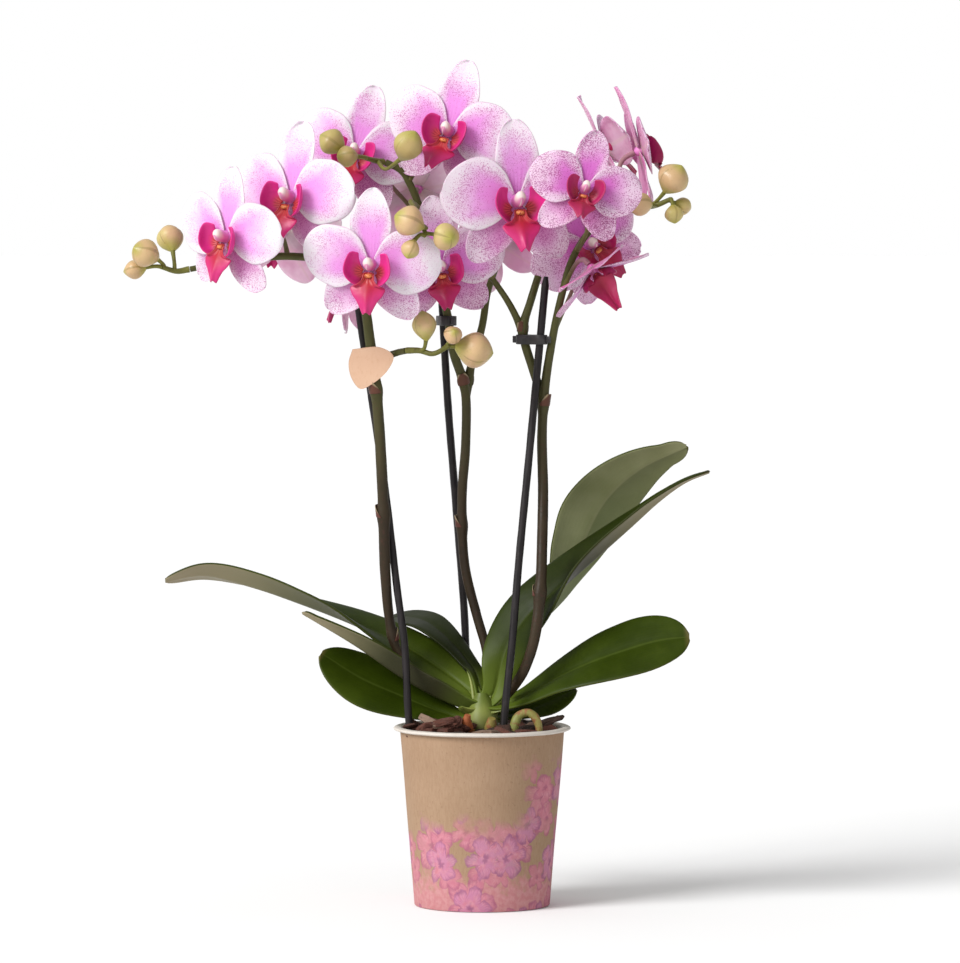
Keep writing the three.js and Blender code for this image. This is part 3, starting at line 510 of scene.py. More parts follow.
def rounded(segments, rings, shape, finish, kind=0.0, tone=0.0):
    """A closed rounded body from a sphere: shape(u, turn, r) gives each point, u from foot to tip."""
    clear_selection()
    bpy.ops.mesh.primitive_uv_sphere_add(segments=segments, ring_count=rings, radius=1)
    piece = bpy.context.object
    lay = []
    for vertex in piece.data.vertices:
        x, y, z = vertex.co
        u, turn, r = (z + 1) / 2, atan2(y, x), hypot(x, y)
        lay.append((turn / pi, u, kind))
        vertex.co = shape(u, turn, r) * MM
    mark(piece, lay, tone)
    face_outward(piece)
    coat(piece, finish)
    smooth(piece)
    return piece


# ---- Finishes ------------------------------------------------------------------------------------------


# How much brighter than plain white light the studio light is on what faces it.
STUDIO = 1.25


def seen(r, g, b):
    """A colour as it looks in the studio light, 0 to 255, for a shader."""
    return (*((((c / 255 + 0.055) / 1.055) ** 2.4 if c > 10 else c / 3295) / STUDIO for c in (r, g, b)), 1)


class Finish:
    """One material and its nodes. A colour is a socket, or three numbers up to 255."""

    def __init__(self, name, **sockets):
        self.material = bpy.data.materials.new(name)
        self.material.use_nodes = True
        self.tree = self.material.node_tree
        self.shader = self.tree.nodes["Principled BSDF"]
        for socket, value in sockets.items():
            self.shader.inputs[socket.replace("_", " ")].default_value = value
        self.here = self.node("ShaderNodeTexCoord").outputs["Object"]

    def node(self, kind, inputs=(), **settings):
        made = self.tree.nodes.new(kind)
        for name, value in settings.items():
            setattr(made, name, value)
        for socket, source in dict(inputs).items():
            if isinstance(source, bpy.types.NodeSocket):
                self.tree.links.new(source, made.inputs[socket])
            else:
                made.inputs[socket].default_value = source
        return made

    def parts(self, vector):
        return self.node("ShaderNodeSeparateXYZ", {0: vector}).outputs

    def lay(self):
        return self.parts(self.node("ShaderNodeAttribute", attribute_name="lay").outputs["Vector"])

    def tone(self):
        return self.node("ShaderNodeAttribute", attribute_name="tone").outputs["Fac"]

    def calc(self, operation, *values):
        return self.node("ShaderNodeMath", dict(enumerate(values)), operation=operation).outputs[0]

    def times(self, *values):
        return self.calc("MULTIPLY", *values)

    def plus(self, *values):
        return self.calc("ADD", *values)

    def vector(self, operation, *values):
        return self.node("ShaderNodeVectorMath", dict(enumerate(values)), operation=operation).outputs

    def fade(self, value, start, end, low=0.0, high=1.0):
        """From low to high as the value goes from start to end, eased."""
        sockets = {0: value, 1: start, 2: end, 3: low, 4: high}
        return self.node("ShaderNodeMapRange", sockets, interpolation_type="SMOOTHSTEP").outputs[0]

    def grain(self, scale, detail=3.0, roughness=0.5, distortion=0.0, where=None, out=0):
        """Soft noise. A scale of three numbers draws it out along an axis."""
        where = self.here if where is None else where
        if isinstance(scale, tuple):
            where = self.node("ShaderNodeMapping", {"Vector": where, "Scale": scale}).outputs[0]
            scale = 1.0
        sockets = {"Vector": where, "Scale": scale, "Detail": detail}
        sockets |= {"Roughness": roughness, "Distortion": distortion}
        return self.node("ShaderNodeTexNoise", sockets).outputs[out]

    def cells(self, where, scale, **settings):
        return self.node("ShaderNodeTexVoronoi", {"Vector": where, "Scale": scale}, **settings).outputs

    def threads(self, across, number, pattern, shake):
        """Fine lines that run lengthwise, shaken by a pattern."""
        return self.calc("SINE", self.plus(self.times(across, number), self.times(pattern, shake)))

    def mix(self, factor, *colours):
        a, b = (seen(*c) if isinstance(c, tuple) else c for c in colours)
        return self.node("ShaderNodeMix", {0: factor, 6: a, 7: b}, data_type="RGBA").outputs[2]

    def ground(self, factor, one, other):
        """The colour to start from: one where the factor is 0, the other where it is 1."""
        self.colour = self.mix(factor, one, other)

    def over(self, amount, colour):
        self.colour = self.mix(amount, self.colour, colour)

    def done(self, height, depth, rough):
        """The finished material: raised by the height, its depth in millimetres, and rough from the low
        to the high value of a pattern."""
        pattern, low, high = rough
        roughness = self.fade(pattern, 0.3, 0.7, low, high)
        bump = self.node("ShaderNodeBump", {"Height": height, "Distance": depth * MM, "Strength": 1.0})
        ends = {"Base Color": self.colour, "Roughness": roughness, "Normal": bump.outputs[0]}
        for socket, source in ends.items():
            self.tree.links.new(source, self.shader.inputs[socket])
        return self.material


# The blossoms printed on the paper: how far apart they stand, and their light and their dark pink.
BLOSSOMS = (
    (36, (205, 128, 150), (158, 84, 118)),
    (21, (202, 122, 142), (166, 90, 120)),
    (28, (198, 134, 172), (140, 84, 126)),
)


def kraft_print():
    """Brown kraft paper with a loose wash of pink blossoms along its foot and up one side."""
    f = Finish("kraft_paper_printed", Roughness=0.85, Specular_IOR_Level=0.25)
    x, y, z = f.parts(f.here)
    fibre = f.grain((900, 900, 260), 4.0, 0.6)
    mottle = f.grain(60)
    flecks = f.fade(f.grain(700, 2.0), 0.62, 0.75)
    f.ground(mottle, (164, 133, 105), (179, 149, 121))
    f.over(f.times(f.fade(fibre, 0.35, 0.7), 0.2), (140, 110, 86))
    f.over(f.times(flecks, 0.3), (122, 90, 68))
    # The wall unrolled: round it and up it, both in millimetres.
    turn = f.calc("ARCTAN2", x, f.times(y, -1.0))
    upward = f.times(z, 1000.0)
    unrolled = f.node("ShaderNodeCombineXYZ", {0: f.times(turn, 40.0), 1: upward, 2: 0.0}).outputs[0]
    wobble = f.grain(0.11, where=unrolled, out="Color")
    bent = f.vector("ADD", unrolled, f.vector("MULTIPLY", wobble, (9.0, 9.0, 0.0))[0])[0]
    wash = f.grain(0.16, 4.0, 0.6, where=unrolled)
    fine = f.grain(0.38, where=unrolled)
    band = f.fade(f.plus(upward, f.times(f.grain(0.045, where=unrolled), 34.0)), 66.0, 54.0)
    side = f.times(f.fade(turn, 0.42, 0.8), f.fade(turn, 1.9, 1.5))
    side = f.times(side, f.fade(f.plus(upward, f.times(wash, 20.0)), 92.0, 80.0))
    shown = f.calc("MAXIMUM", band, side)
    foot = f.fade(f.plus(upward, f.times(wash, 40.0)), 44.0, 28.0)
    rose = f.mix(f.fade(fine, 0.35, 0.65), (206, 128, 142), (214, 148, 158))
    f.over(f.times(foot, 0.72), rose)
    for spread, light, dark in BLOSSOMS:
        start = f.vector("ADD", bent, (spread * 3.7, spread * 1.3, 0))[0]
        cell = f.cells(start, 1 / spread, voronoi_dimensions="2D")
        off = f.vector("SUBTRACT", start, cell["Position"])[0]
        dx, dy, _ = f.parts(off)
        tint, size, _ = f.parts(cell["Color"])
        spin = f.plus(f.calc("ARCTAN2", dy, dx), f.times(tint, 6.0))
        petal = f.calc("ABSOLUTE", f.calc("COSINE", f.times(spin, 2.5)))
        reach = f.times(f.plus(f.times(size, 0.12), 0.34), float(spread))
        reach = f.times(reach, f.plus(f.times(f.calc("POWER", petal, 0.6), 0.62), 0.42))
        ratio = f.calc("DIVIDE", f.vector("LENGTH", off)["Value"], reach)
        bloom = f.times(f.fade(f.plus(ratio, f.times(fine, 0.1)), 1.1, 1.0), shown)
        pooled = f.fade(f.plus(ratio, f.times(wash, 0.5)), 0.95, 1.3)
        streaks = f.fade(f.calc("SINE", f.times(spin, 35.0)), 0.3, 1.0)
        pink = f.mix(f.fade(wash, 0.3, 0.7), light, rose)
        for amount in (
            f.times(pooled, 0.8),
            f.times(streaks, f.fade(ratio, 0.2, 0.9, 0.0, 0.35)),
            f.fade(ratio, 0.28, 0.08, 0.0, 0.8),
        ):
            pink = f.mix(amount, pink, dark)
        f.over(f.times(bloom, f.fade(wash, 0.25, 0.7, 0.62, 0.95)), pink)
    return f.done(f.plus(fibre, f.times(mottle, 0.5)), 0.12, rough=(fibre, 0.72, 0.92))


def white_paper():
    f = Finish("rim_white_paper", Roughness=0.6)
    fibre = f.grain((400, 400, 700))
    soil = f.grain(90)
    f.ground(f.times(fibre, 0.4), (226, 218, 208), (204, 194, 182))
    f.over(f.fade(soil, 0.55, 0.8, 0.0, 0.35), (176, 156, 138))
    return f.done(fibre, 0.08, rough=(fibre, 0.5, 0.7))


def bark():
    f = Finish("bark_chip", Roughness=0.9)
    tone = f.tone()
    ridges = f.grain((260, 260, 900), 4.0, 0.6, 0.6)
    pits = f.grain(500)
    dark = f.mix(ridges, (34, 20, 12), (70, 42, 28))
    red = f.mix(ridges, (66, 30, 22), (112, 66, 50))
    pale = f.mix(ridges, (112, 86, 70), (160, 134, 116))
    f.ground(f.fade(tone, 0.35, 0.5), dark, red)
    f.over(f.fade(tone, 0.8, 0.92), pale)
    f.over(f.fade(pits, 0.6, 0.75, 0.0, 0.5), (24, 14, 9))
    return f.done(f.plus(ridges, pits), 0.8, rough=(ridges, 0.75, 0.98))


def leaf_top():
    f = Finish("leaf_upper_green", Roughness=0.4, Specular_IOR_Level=0.1)
    across, lengthwise = f.lay()[:2]
    off_rib = f.calc("ABSOLUTE", across)
    patches = f.grain(24, 4.0, 0.55)
    freckles = f.grain(420, 2.0)
    threads = f.threads(across, 70.0, patches, 6.0)
    f.ground(f.fade(patches, 0.35, 0.68), (44, 58, 4), (64, 80, 10))
    f.over(f.fade(threads, 0.2, 1.0, 0.0, 0.03), (92, 104, 42))
    f.over(f.fade(freckles, 0.6, 0.78, 0.0, 0.25), (34, 48, 12))
    groove = f.fade(off_rib, 0.06, 0.01)
    f.over(f.times(groove, 0.22), (104, 120, 52))
    tip = f.fade(lengthwise, 0.97, 1.0, 0.0, 0.5)
    f.over(tip, (120, 104, 62))
    margin = f.fade(off_rib, 0.96, 1.0, 0.0, 0.3)
    f.over(margin, (96, 96, 48))
    # Painted shade: the whole upper side is darkened by the leaf's shade number.
    f.over(f.times(f.tone(), 0.8), (22, 26, 8))
    root = f.fade(f.plus(lengthwise, f.times(patches, 0.1)), 0.3, 0.06)
    f.over(f.times(root, 0.8), (106, 124, 40))
    return f.done(f.plus(f.times(threads, 0.012), f.times(patches, 3.0)), 0.4, rough=(patches, 0.36, 0.5))


def leaf_underside():
    f = Finish("leaf_underside_olive", Roughness=0.5, Specular_IOR_Level=0.14)
    across, lengthwise = f.lay()[:2]
    off_rib = f.calc("ABSOLUTE", across)
    patches = f.grain(34, 4.0)
    threads = f.threads(across, 60.0, patches, 5.0)
    f.ground(f.fade(patches, 0.3, 0.7), (116, 122, 80), (140, 144, 104))
    f.over(f.fade(threads, 0.2, 1.0, 0.0, 0.1), (134, 134, 104))
    keel = f.fade(off_rib, 0.08, 0.02, 0.0, 0.35)
    f.over(keel, (134, 134, 96))
    # Painted shade: the half of each underside on one side of the rib is painted a darker green, as the
    # half of the fold turned from the light.
    f.over(f.fade(across, 0.0, 0.04, 0.0, 0.5), (78, 94, 44))
    # Painted shade on the underside, set by the leaf's shade number and strongest towards the root.
    shade = f.times(f.fade(f.tone(), 0.0, 0.7), f.fade(lengthwise, 0.95, 0.45, 0.35, 0.95))
    f.over(shade, (36, 32, 16))
    root = f.fade(lengthwise, 0.26, 0.06, 0.0, 0.8)
    f.over(root, (84, 98, 34))
    tan = f.times(f.fade(lengthwise, 0.5, 1.0, 0.0, 0.8), f.fade(f.tone(), 0.05, 0.4, 0.25, 1.0))
    f.over(tan, (160, 146, 118))
    return f.done(f.plus(f.times(threads, 0.03), patches), 0.25, rough=(patches, 0.42, 0.6))


def crown_green():
    f = Finish("crown_pale_green", Roughness=0.42, Specular_IOR_Level=0.35)
    across, lengthwise = f.lay()[:2]
    patches = f.grain(60, 4.0)
    threads = f.threads(across, 40.0, patches, 4.0)
    f.ground(f.fade(patches, 0.3, 0.7), (112, 126, 44), (150, 158, 76))
    f.over(f.fade(threads, 0.1, 1.0, 0.0, 0.1), (150, 158, 84))
    f.over(f.fade(lengthwise, 0.55, 1.0, 0.0, 0.7), (84, 100, 32))
    low = f.fade(f.parts(f.here)["Z"], CROWN_NECK * MM, 0.09, 0.0, 0.7)
    f.over(low, (66, 56, 30))
    return f.done(f.plus(f.times(threads, 0.15), patches), 0.3, rough=(patches, 0.35, 0.55))


def root_skin():
    f = Finish("root_green_grey", Roughness=0.6)
    lengthwise, kind = f.lay()[1:]
    spots = f.grain(320)
    patches = f.grain(90)
    f.ground(f.fade(patches, 0.3, 0.7), (112, 118, 46), (156, 158, 84))
    f.over(f.fade(spots, 0.5, 0.62, 0.0, 0.8), (146, 84, 56))
    tip = f.times(kind, f.fade(lengthwise, 0.3, 0.7))
    f.over(tip, (170, 92, 48))
    return f.done(f.plus(spots, patches), 0.25, rough=(spots, 0.5, 0.75))


def stake_finish():
    f = Finish("stake_dark", Roughness=0.5, Specular_IOR_Level=0.25)
    streaks = f.grain((700, 700, 60), 4.0)
    dust = f.grain(160)
    f.ground(f.fade(streaks, 0.3, 0.7), (24, 20, 22), (42, 37, 38))
    f.over(f.fade(dust, 0.55, 0.75, 0.0, 0.25), (66, 60, 58))
    return f.done(streaks, 0.2, rough=(streaks, 0.38, 0.62))


def clip_finish():
    f = Finish("clip_dark_moulding", Roughness=0.42)
    frost = f.grain(900, 2.0)
    wear = f.grain(220)
    f.ground(f.fade(wear, 0.35, 0.7), (26, 24, 26), (50, 46, 48))
    return f.done(frost, 0.06, rough=(frost, 0.35, 0.55))


def card_finish():
    f = Finish("label_peach_card", Roughness=0.65)
    fibre = f.grain((700, 700, 350), 4.0, 0.6)
    clouds = f.grain(70, 2.0)
    f.ground(clouds, (226, 180, 148), (240, 200, 168))
    f.over(f.fade(fibre, 0.5, 0.75, 0.0, 0.35), (212, 162, 128))
    return f.done(fibre, 0.08, rough=(fibre, 0.55, 0.75))


def spike_skin():
    """Olive-brown below, greener above, and pinkish on the stalks towards the blooms."""
    f = Finish("spike_olive", Roughness=0.45, Specular_IOR_Level=0.2)
    z = f.parts(f.here)["Z"]
    across, lengthwise, kind = f.lay()
    tone = f.tone()
    freckles = f.grain(520, 2.0)
    patches = f.grain((160, 160, 50))
    low = f.mix(patches, (38, 29, 21), (68, 55, 36))
    high = f.mix(patches, (66, 66, 30), (104, 106, 58))
    f.ground(f.fade(z, 0.19, 0.34), low, high)
    stalk = f.mix(f.fade(lengthwise, 0.3, 0.95), (112, 110, 60), (176, 128, 140))
    f.over(kind, stalk)
    f.over(f.times(kind, -1.0), f.mix(patches, (108, 108, 46), (150, 148, 70)))
    f.over(f.fade(freckles, 0.55, 0.75, 0.0, 0.4), (78, 46, 38))
    # Bracts and joints: reddish brown, with a pale dry edge.
    f.over(f.fade(tone, 0.1, 0.5, 0.0, 0.75), (104, 58, 50))
    edge = f.fade(f.plus(f.calc("ABSOLUTE", across), lengthwise), 1.25, 1.6)
    f.over(f.times(f.times(f.fade(tone, 0.1, 0.5), edge), 0.7), (170, 156, 122))
    return f.done(f.plus(freckles, patches), 0.15, rough=(patches, 0.38, 0.58))


def bud_skin():
    f = Finish("bud_tan_olive", Roughness=0.4, Specular_IOR_Level=0.45)
    turn, lengthwise = f.lay()[:2]
    patches = f.grain(110)
    fine = f.grain(900, 2.0)
    seam = f.fade(f.calc("COSINE", f.times(turn, 3 * pi)), -0.88, -0.99)
    f.ground(f.fade(patches, 0.35, 0.65), (222, 186, 138), (214, 194, 126))
    f.over(f.fade(f.grain(60, 2.0), 0.42, 0.6, 0.0, 0.75), (224, 178, 144))
    ends = f.plus(f.fade(lengthwise, 0.45, 0.05), f.fade(lengthwise, 0.78, 1.0))
    f.over(f.times(ends, 0.85), (174, 172, 64))
    f.over(f.times(seam, 0.5), (132, 110, 62))
    f.over(f.fade(fine, 0.6, 0.75, 0.0, 0.25), (160, 118, 84))
    f.over(f.times(f.tone(), 0.8), f.mix(patches, (156, 140, 66), (182, 176, 84)))
    return f.done(f.plus(fine, f.times(patches, 2.0)), 0.12, rough=(patches, 0.34, 0.5))


def petal_face():
    """White with a pink heart and fine magenta speckles, denser and duller on the lower sepals."""
    glow = dict(Subsurface_Weight=0.3, Subsurface_Scale=0.003, Subsurface_Radius=(1.0, 0.45, 0.8))
    f = Finish("petal_speckled_pink", Roughness=0.55, Specular_IOR_Level=0.3, **glow)
    across, lengthwise, low = f.lay()
    tone = f.tone()
    off = f.calc("ABSOLUTE", across)
    clouds = f.grain(80)
    uneven = f.times(f.plus(clouds, -0.5), 0.5)
    veins = f.threads(across, 30.0, clouds, 4.0)
    rim = f.calc("MAXIMUM", f.times(off, 0.96), lengthwise)
    heart = f.fade(f.plus(rim, uneven), 0.9, 0.3)
    pale = f.mix(tone, (248, 240, 247), (236, 202, 226))
    rich = f.mix(tone, (246, 166, 240), (206, 92, 190))
    f.ground(heart, pale, rich)
    near_foot = f.fade(lengthwise, 0.6, 0.1)
    f.over(f.times(f.fade(veins, 0.2, 1.0, 0.0, 0.16), near_foot), (220, 124, 206))
    dusk = f.times(low, f.fade(f.plus(lengthwise, uneven), 0.85, 0.3, 0.0, 0.6))
    f.over(dusk, (200, 128, 168))
    # Speckles crowd between the heart and the margin, and reach the edge only on the darker blooms.
    inner = f.fade(f.plus(rim, uneven), 0.25, 0.55)
    outer = f.calc("MAXIMUM", f.fade(f.plus(rim, uneven), 0.98, 0.72), f.fade(tone, 0.25, 0.55))
    crowd = f.calc("MAXIMUM", f.times(inner, outer), f.times(low, 0.85))
    crowd = f.times(crowd, f.fade(f.grain(75, 2.0), 0.34, 0.6, 0.4, 1.0))
    fleck = f.grain(1900, 1.0, 0.4, 0.5)
    speckle = f.fade(f.plus(fleck, f.times(crowd, f.plus(f.times(tone, 0.05), 0.15))), 0.66, 0.73)
    ink = f.mix(tone, (204, 104, 178), (150, 44, 116))
    f.over(f.times(speckle, f.fade(tone, 0.0, 0.4, 0.5, 0.76)), ink)
    edge = f.fade(off, 0.955, 1.0, 0.0, 0.35)
    f.over(edge, (214, 152, 190))
    height = f.plus(f.times(f.times(veins, near_foot), 0.12), f.times(clouds, 1.5))
    return f.done(height, 0.3, rough=(clouds, 0.48, 0.64))


def petal_back():
    glow = dict(Subsurface_Weight=0.6, Subsurface_Scale=0.004, Subsurface_Radius=(1.0, 0.6, 0.85))
    f = Finish("petal_back_cream", Roughness=0.55, Specular_IOR_Level=0.3, **glow)
    across, lengthwise = f.lay()[:2]
    tone = f.tone()
    clouds = f.grain(90)
    veins = f.threads(across, 24.0, clouds, 5.0)
    light = f.mix(tone, (250, 244, 242), (222, 150, 190))
    dusk = f.mix(tone, (242, 222, 228), (190, 98, 152))
    f.ground(f.fade(clouds, 0.35, 0.65), light, dusk)
    f.over(f.fade(veins, 0.3, 1.0, 0.0, 0.1), dusk)
    keel = f.fade(f.calc("ABSOLUTE", across), 0.12, 0.02, 0.0, 0.35)
    f.over(keel, (222, 200, 188))
    foot = f.fade(lengthwise, 0.25, 0.0, 0.0, 0.5)
    f.over(foot, (206, 190, 160))
    return f.done(f.plus(f.times(veins, 0.06), f.times(clouds, 1.2)), 0.25, rough=(clouds, 0.48, 0.62))


def column_finish():
    f = Finish("column_cream_white", Roughness=0.4, Specular_IOR_Level=0.4)
    turn, lengthwise = f.lay()[:2]
    clouds = f.grain(300, 2.0)
    below = f.fade(f.calc("ABSOLUTE", turn), 0.45, 0.8)
    f.ground(f.fade(lengthwise, 0.5, 0.7), (236, 136, 208), (250, 230, 224))
    f.over(f.times(below, 0.85), (226, 104, 176))
    f.over(f.fade(clouds, 0.5, 0.75, 0.0, 0.3), (232, 176, 200))
    return f.done(clouds, 0.12, rough=(clouds, 0.35, 0.5))


def lip_finish():
    """Magenta side lobes and tongue, crimson along the middle, with an orange striped throat."""
    sheen = dict(Sheen_Weight=0.1, Sheen_Roughness=0.4)
    f = Finish("lip_magenta", Roughness=0.4, Specular_IOR_Level=0.35, **sheen)
    across, lengthwise, kind = f.lay()
    tone = f.tone()
    off = f.calc("ABSOLUTE", across)
    clouds = f.grain(220)
    outward = f.fade(f.plus(lengthwise, f.times(off, 0.35)), 0.35, 1.0)
    tongue = f.mix(outward, (188, 22, 50), (212, 42, 120))
    outward = f.fade(f.plus(lengthwise, f.times(clouds, 0.2)), 0.15, 0.7)
    lobe = f.mix(outward, (206, 26, 70), (230, 44, 142))
    bottom = f.fade(across, 0.45, 1.0, 0.0, 0.75)
    lobe = f.mix(bottom, lobe, (164, 20, 52))
    f.ground(f.fade(kind, 0.3, 0.7), tongue, lobe)
    throat = f.fade(lengthwise, 0.4, 0.14)
    stripes = f.threads(across, 20.0, clouds, 4.0)
    f.over(f.times(throat, 0.6), (216, 88, 70))
    f.over(f.times(throat, f.fade(stripes, 0.0, 0.8, 0.0, 0.85)), (160, 20, 46))
    f.over(f.times(f.fade(tone, 0.05, 0.8), 0.7), (152, 22, 62))
    f.over(f.fade(clouds, 0.55, 0.75, 0.0, 0.25), (170, 24, 92))
    return f.done(f.plus(f.times(f.times(stripes, throat), 0.3), clouds), 0.2, rough=(clouds, 0.34, 0.52))


def callus_finish():
    f = Finish("lip_callus_orange", Roughness=0.4)
    dots = f.cells(f.here, 900)[0]
    clouds = f.grain(300, 2.0)
    f.ground(clouds, (226, 122, 60), (236, 158, 96))
    f.over(f.fade(dots, 0.38, 0.26), (168, 40, 50))
    return f.done(dots, 0.1, rough=(clouds, 0.32, 0.5))


KRAFT = kraft_print()
RIM = white_paper()
BARK = bark()
LEAF_TOP = leaf_top()
LEAF_UNDER = leaf_underside()
CROWN = crown_green()
ROOT = root_skin()
STAKE = stake_finish()
CLIP = clip_finish()
CARD = card_finish()
SPIKE = spike_skin()
BUD = bud_skin()
PETAL = petal_face()
PETAL_BACK = petal_back()
COLUMN = column_finish()
LIP = lip_finish()
CALLUS = callus_finish()

# ---- Pot, base and bark --------------------------------------------------------------------------------


def paper_pot():
    foot, top, wall = POT["foot"], POT["top"], POT["wall"]
    neck = POT["height"] - POT["rim_depth"]
    profile = [(foot - wall, 0.2), (foot - wall + 0.3, 0), (foot - 0.3, 0), (foot, 0.4)]
    profile += [(foot + (top - foot) * i / 12, 0.4 + (neck - 0.4) * i / 12) for i in range(1, 13)]
    middle, half = (POT["rim"] + top - wall) / 2, (POT["rim"] - top + wall) / 2
    for angle in range(-75, 181, 15):
        turn = radians(angle)
        profile.append((middle + half * cos(turn), POT["height"] + POT["rim_depth"] / 2 * (sin(turn) - 1)))
    profile += [(top - wall, neck - 0.8), (top - wall - 3.6, 50), (foot - wall, 0.2)]
    piece = turned(profile, 128)
    # The rim, from 88 mm up, waves a little up and down, and the wall below it is a little slack.
    for vertex in piece.data.vertices:
        x, y, z = vertex.co
        rim = min(max((z - 0.088) / 0.004, 0), 1)
        vertex.co.z += rim * 0.00018 * noise.noise(Vector((x, y, 0)) * 60)
        slack = noise.noise(Vector((x, y, z)) * 22) * 0.0003 * min(z / 0.02, 1) * (1 - rim)
        vertex.co.x += x * slack / 0.04
        vertex.co.y += y * slack / 0.04
    coat(piece, KRAFT, RIM)
    for face in piece.data.polygons:
        x, y, z = face.center
        outward = face.normal.x * x + face.normal.y * y > 0
        if z > (neck - 0.2) * MM or not outward:
            face.material_index = 1
    smooth(piece, 50)
    return complete(piece, "printed_paper_pot", "paper_pot")


def one_chip(draw):
    """A flake of bark: a rough block with its corners worn and its edges bevelled."""
    clear_selection()
    bpy.ops.mesh.primitive_cube_add(size=2)
    chip = bpy.context.object
    edit(chip)
    bpy.ops.mesh.subdivide(number_cuts=1)
    leave_edit()
    for vertex in chip.data.vertices:
        rough = Vector((draw.uniform(-1, 1), draw.uniform(-1, 1), draw.uniform(-1, 1)))
        corner = 0.82 if vertex.co.length > 1.6 else 1
        vertex.co = vertex.co * corner + rough * 0.17
    modify(chip, "BEVEL", width=0.1, segments=1, limit_method="ANGLE")
    return chip


def drawn(draw, *turns):
    """Turns about the axes, each drawn between its two limits."""
    return [(draw.uniform(least, most), axis) for least, most, axis in turns]


def lay_chip(flake, size, turns, place, tone):
    """A copy of a flake: stretched to its size, turned, and laid at its place."""
    chip = flake.copy()
    chip.data = flake.data.copy()
    bpy.context.collection.objects.link(chip)
    laid = Matrix.Translation(place * MM)
    for angle, axis in turns:
        laid = laid @ Matrix.Rotation(angle, 4, axis)
    chip.data.transform(laid @ Matrix.Diagonal((*(c * MM for c in size), 1)))
    write_tone(chip, tone)
    return coat(chip, BARK)


def bark_bed():
    draw = random.Random(11)
    bed = turned([(33.9, 2.4), (40.2, 82), (39, 85.5), (30, 86.6), (18, 87.6), (6, 88)], 64, shut=True)
    for vertex in bed.data.vertices:
        if vertex.co.z > 0.084:
            vertex.co.z += 0.0015 * noise.noise(vertex.co * 180)
    write_tone(bed, 0.1)
    coat(bed, BARK)
    flakes = [one_chip(draw) for _ in range(7)]
    placed = [bed]
    # An even layer, in a spiral from the middle to the wall.
    for i in range(CHIPS):
        out = CHIP_SPREAD * sqrt((i + 0.5) / CHIPS)
        turn = i * GOLDEN_ANGLE + draw.uniform(-0.25, 0.25)
        size = (draw.uniform(4, 8.5), draw.uniform(2.4, 4.6), draw.uniform(0.9, 2.2))
        place = Vector((out * cos(turn), out * sin(turn), BARK_TOP - 0.6 + draw.uniform(-1, 3.6)))
        if out + size[0] > CHIP_LIMIT:
            reach = (CHIP_LIMIT - size[0] * 0.75) / out
            place.x *= reach
            place.y *= reach
        lean = 0.75 if draw.random() < 0.35 else 0.3
        turns = drawn(draw, (0, pi, "Z"), (-lean, lean, "X"), (-lean, lean, "Y"))
        placed.append(lay_chip(flakes[i % len(flakes)], size, turns, place, draw.random()))
    # A heap in front on the left, and long dark shards on the right.
    heap = [
        (-36 + 2.1 * i + draw.uniform(-1.5, 1.5), draw.uniform(-27, -6), draw.uniform(0, 6.5))
        for i in range(15)
    ]
    heap = [
        (x + draw.uniform(-2, 2), y + draw.uniform(-3, 3), rise, 0.4 + draw.uniform(0, 0.32))
        for x, y, rise in heap * 2
    ]
    heap += [(-27, -20, 8.6, 1.0), (-24, -24, 7, 1.0), (-15, -24, 8.4, 0.6), (-19, -25, 8, 0.65)]
    shards = [(24 + 3.4 * i, draw.uniform(-14, 4), 3.4 + 1.1 * i, 0.1) for i in range(5)]
    for i, (x, y, rise, tone) in enumerate(heap + shards):
        if i < len(heap):
            size = (draw.uniform(3.5, 6.5), draw.uniform(2.4, 4.2), draw.uniform(1, 2.1))
            turns = drawn(draw, (0, pi, "Z"), (-0.7, 0.7, "Y"), (-0.5, 0.5, "X"))
        else:
            size = (6.8, 2.2, 0.8)
            turns = drawn(draw, (-0.5, 0.5, "Z"), (-0.6, -0.25, "Y"), (-0.5, 0.5, "X"))
        keep = min(1, HEAP_LIMIT / hypot(x, y))
        place = Vector((x * keep, y * keep, BARK_TOP + rise))
        placed.append(lay_chip(flakes[i % len(flakes)], size, turns, place, tone))
    take(*flakes)
    bpy.ops.object.delete()
    piece = join(placed)
    smooth(piece, 35)
    return complete(piece, "bark_chips", "bark_fill")


# ---- Crown, roots and leaves ---------------------------------------------------------------------------


def leaf_frame(leaf, route, s):
    """Towards the near side and up, at a place along the rib, both turned by the leaf's roll."""
    ahead = route.heading(s)
    level = UP.cross(ahead).normalized()
    if level.y > 0:
        level.negate()
    up = level.cross(ahead).normalized()
    if up.z < 0:
        up.negate()
    turn = radians(along(leaf["roll"], s))
    side = level * cos(turn) - up * sin(turn)
    return side, up * cos(turn) + level * sin(turn)


def clasp_line(route, k):
    """From the foot of a blade (k = 0) down into the neck of the crown (k = 1)."""
    foot = route.point(0)
    neck = Vector((foot.x * 0.12, foot.y * 0.12, CROWN_NECK))
    middle = foot - route.heading(0.01) * 7
    return foot * (1 - k) ** 2 + middle * (2 * k * (1 - k)) + neck * k * k


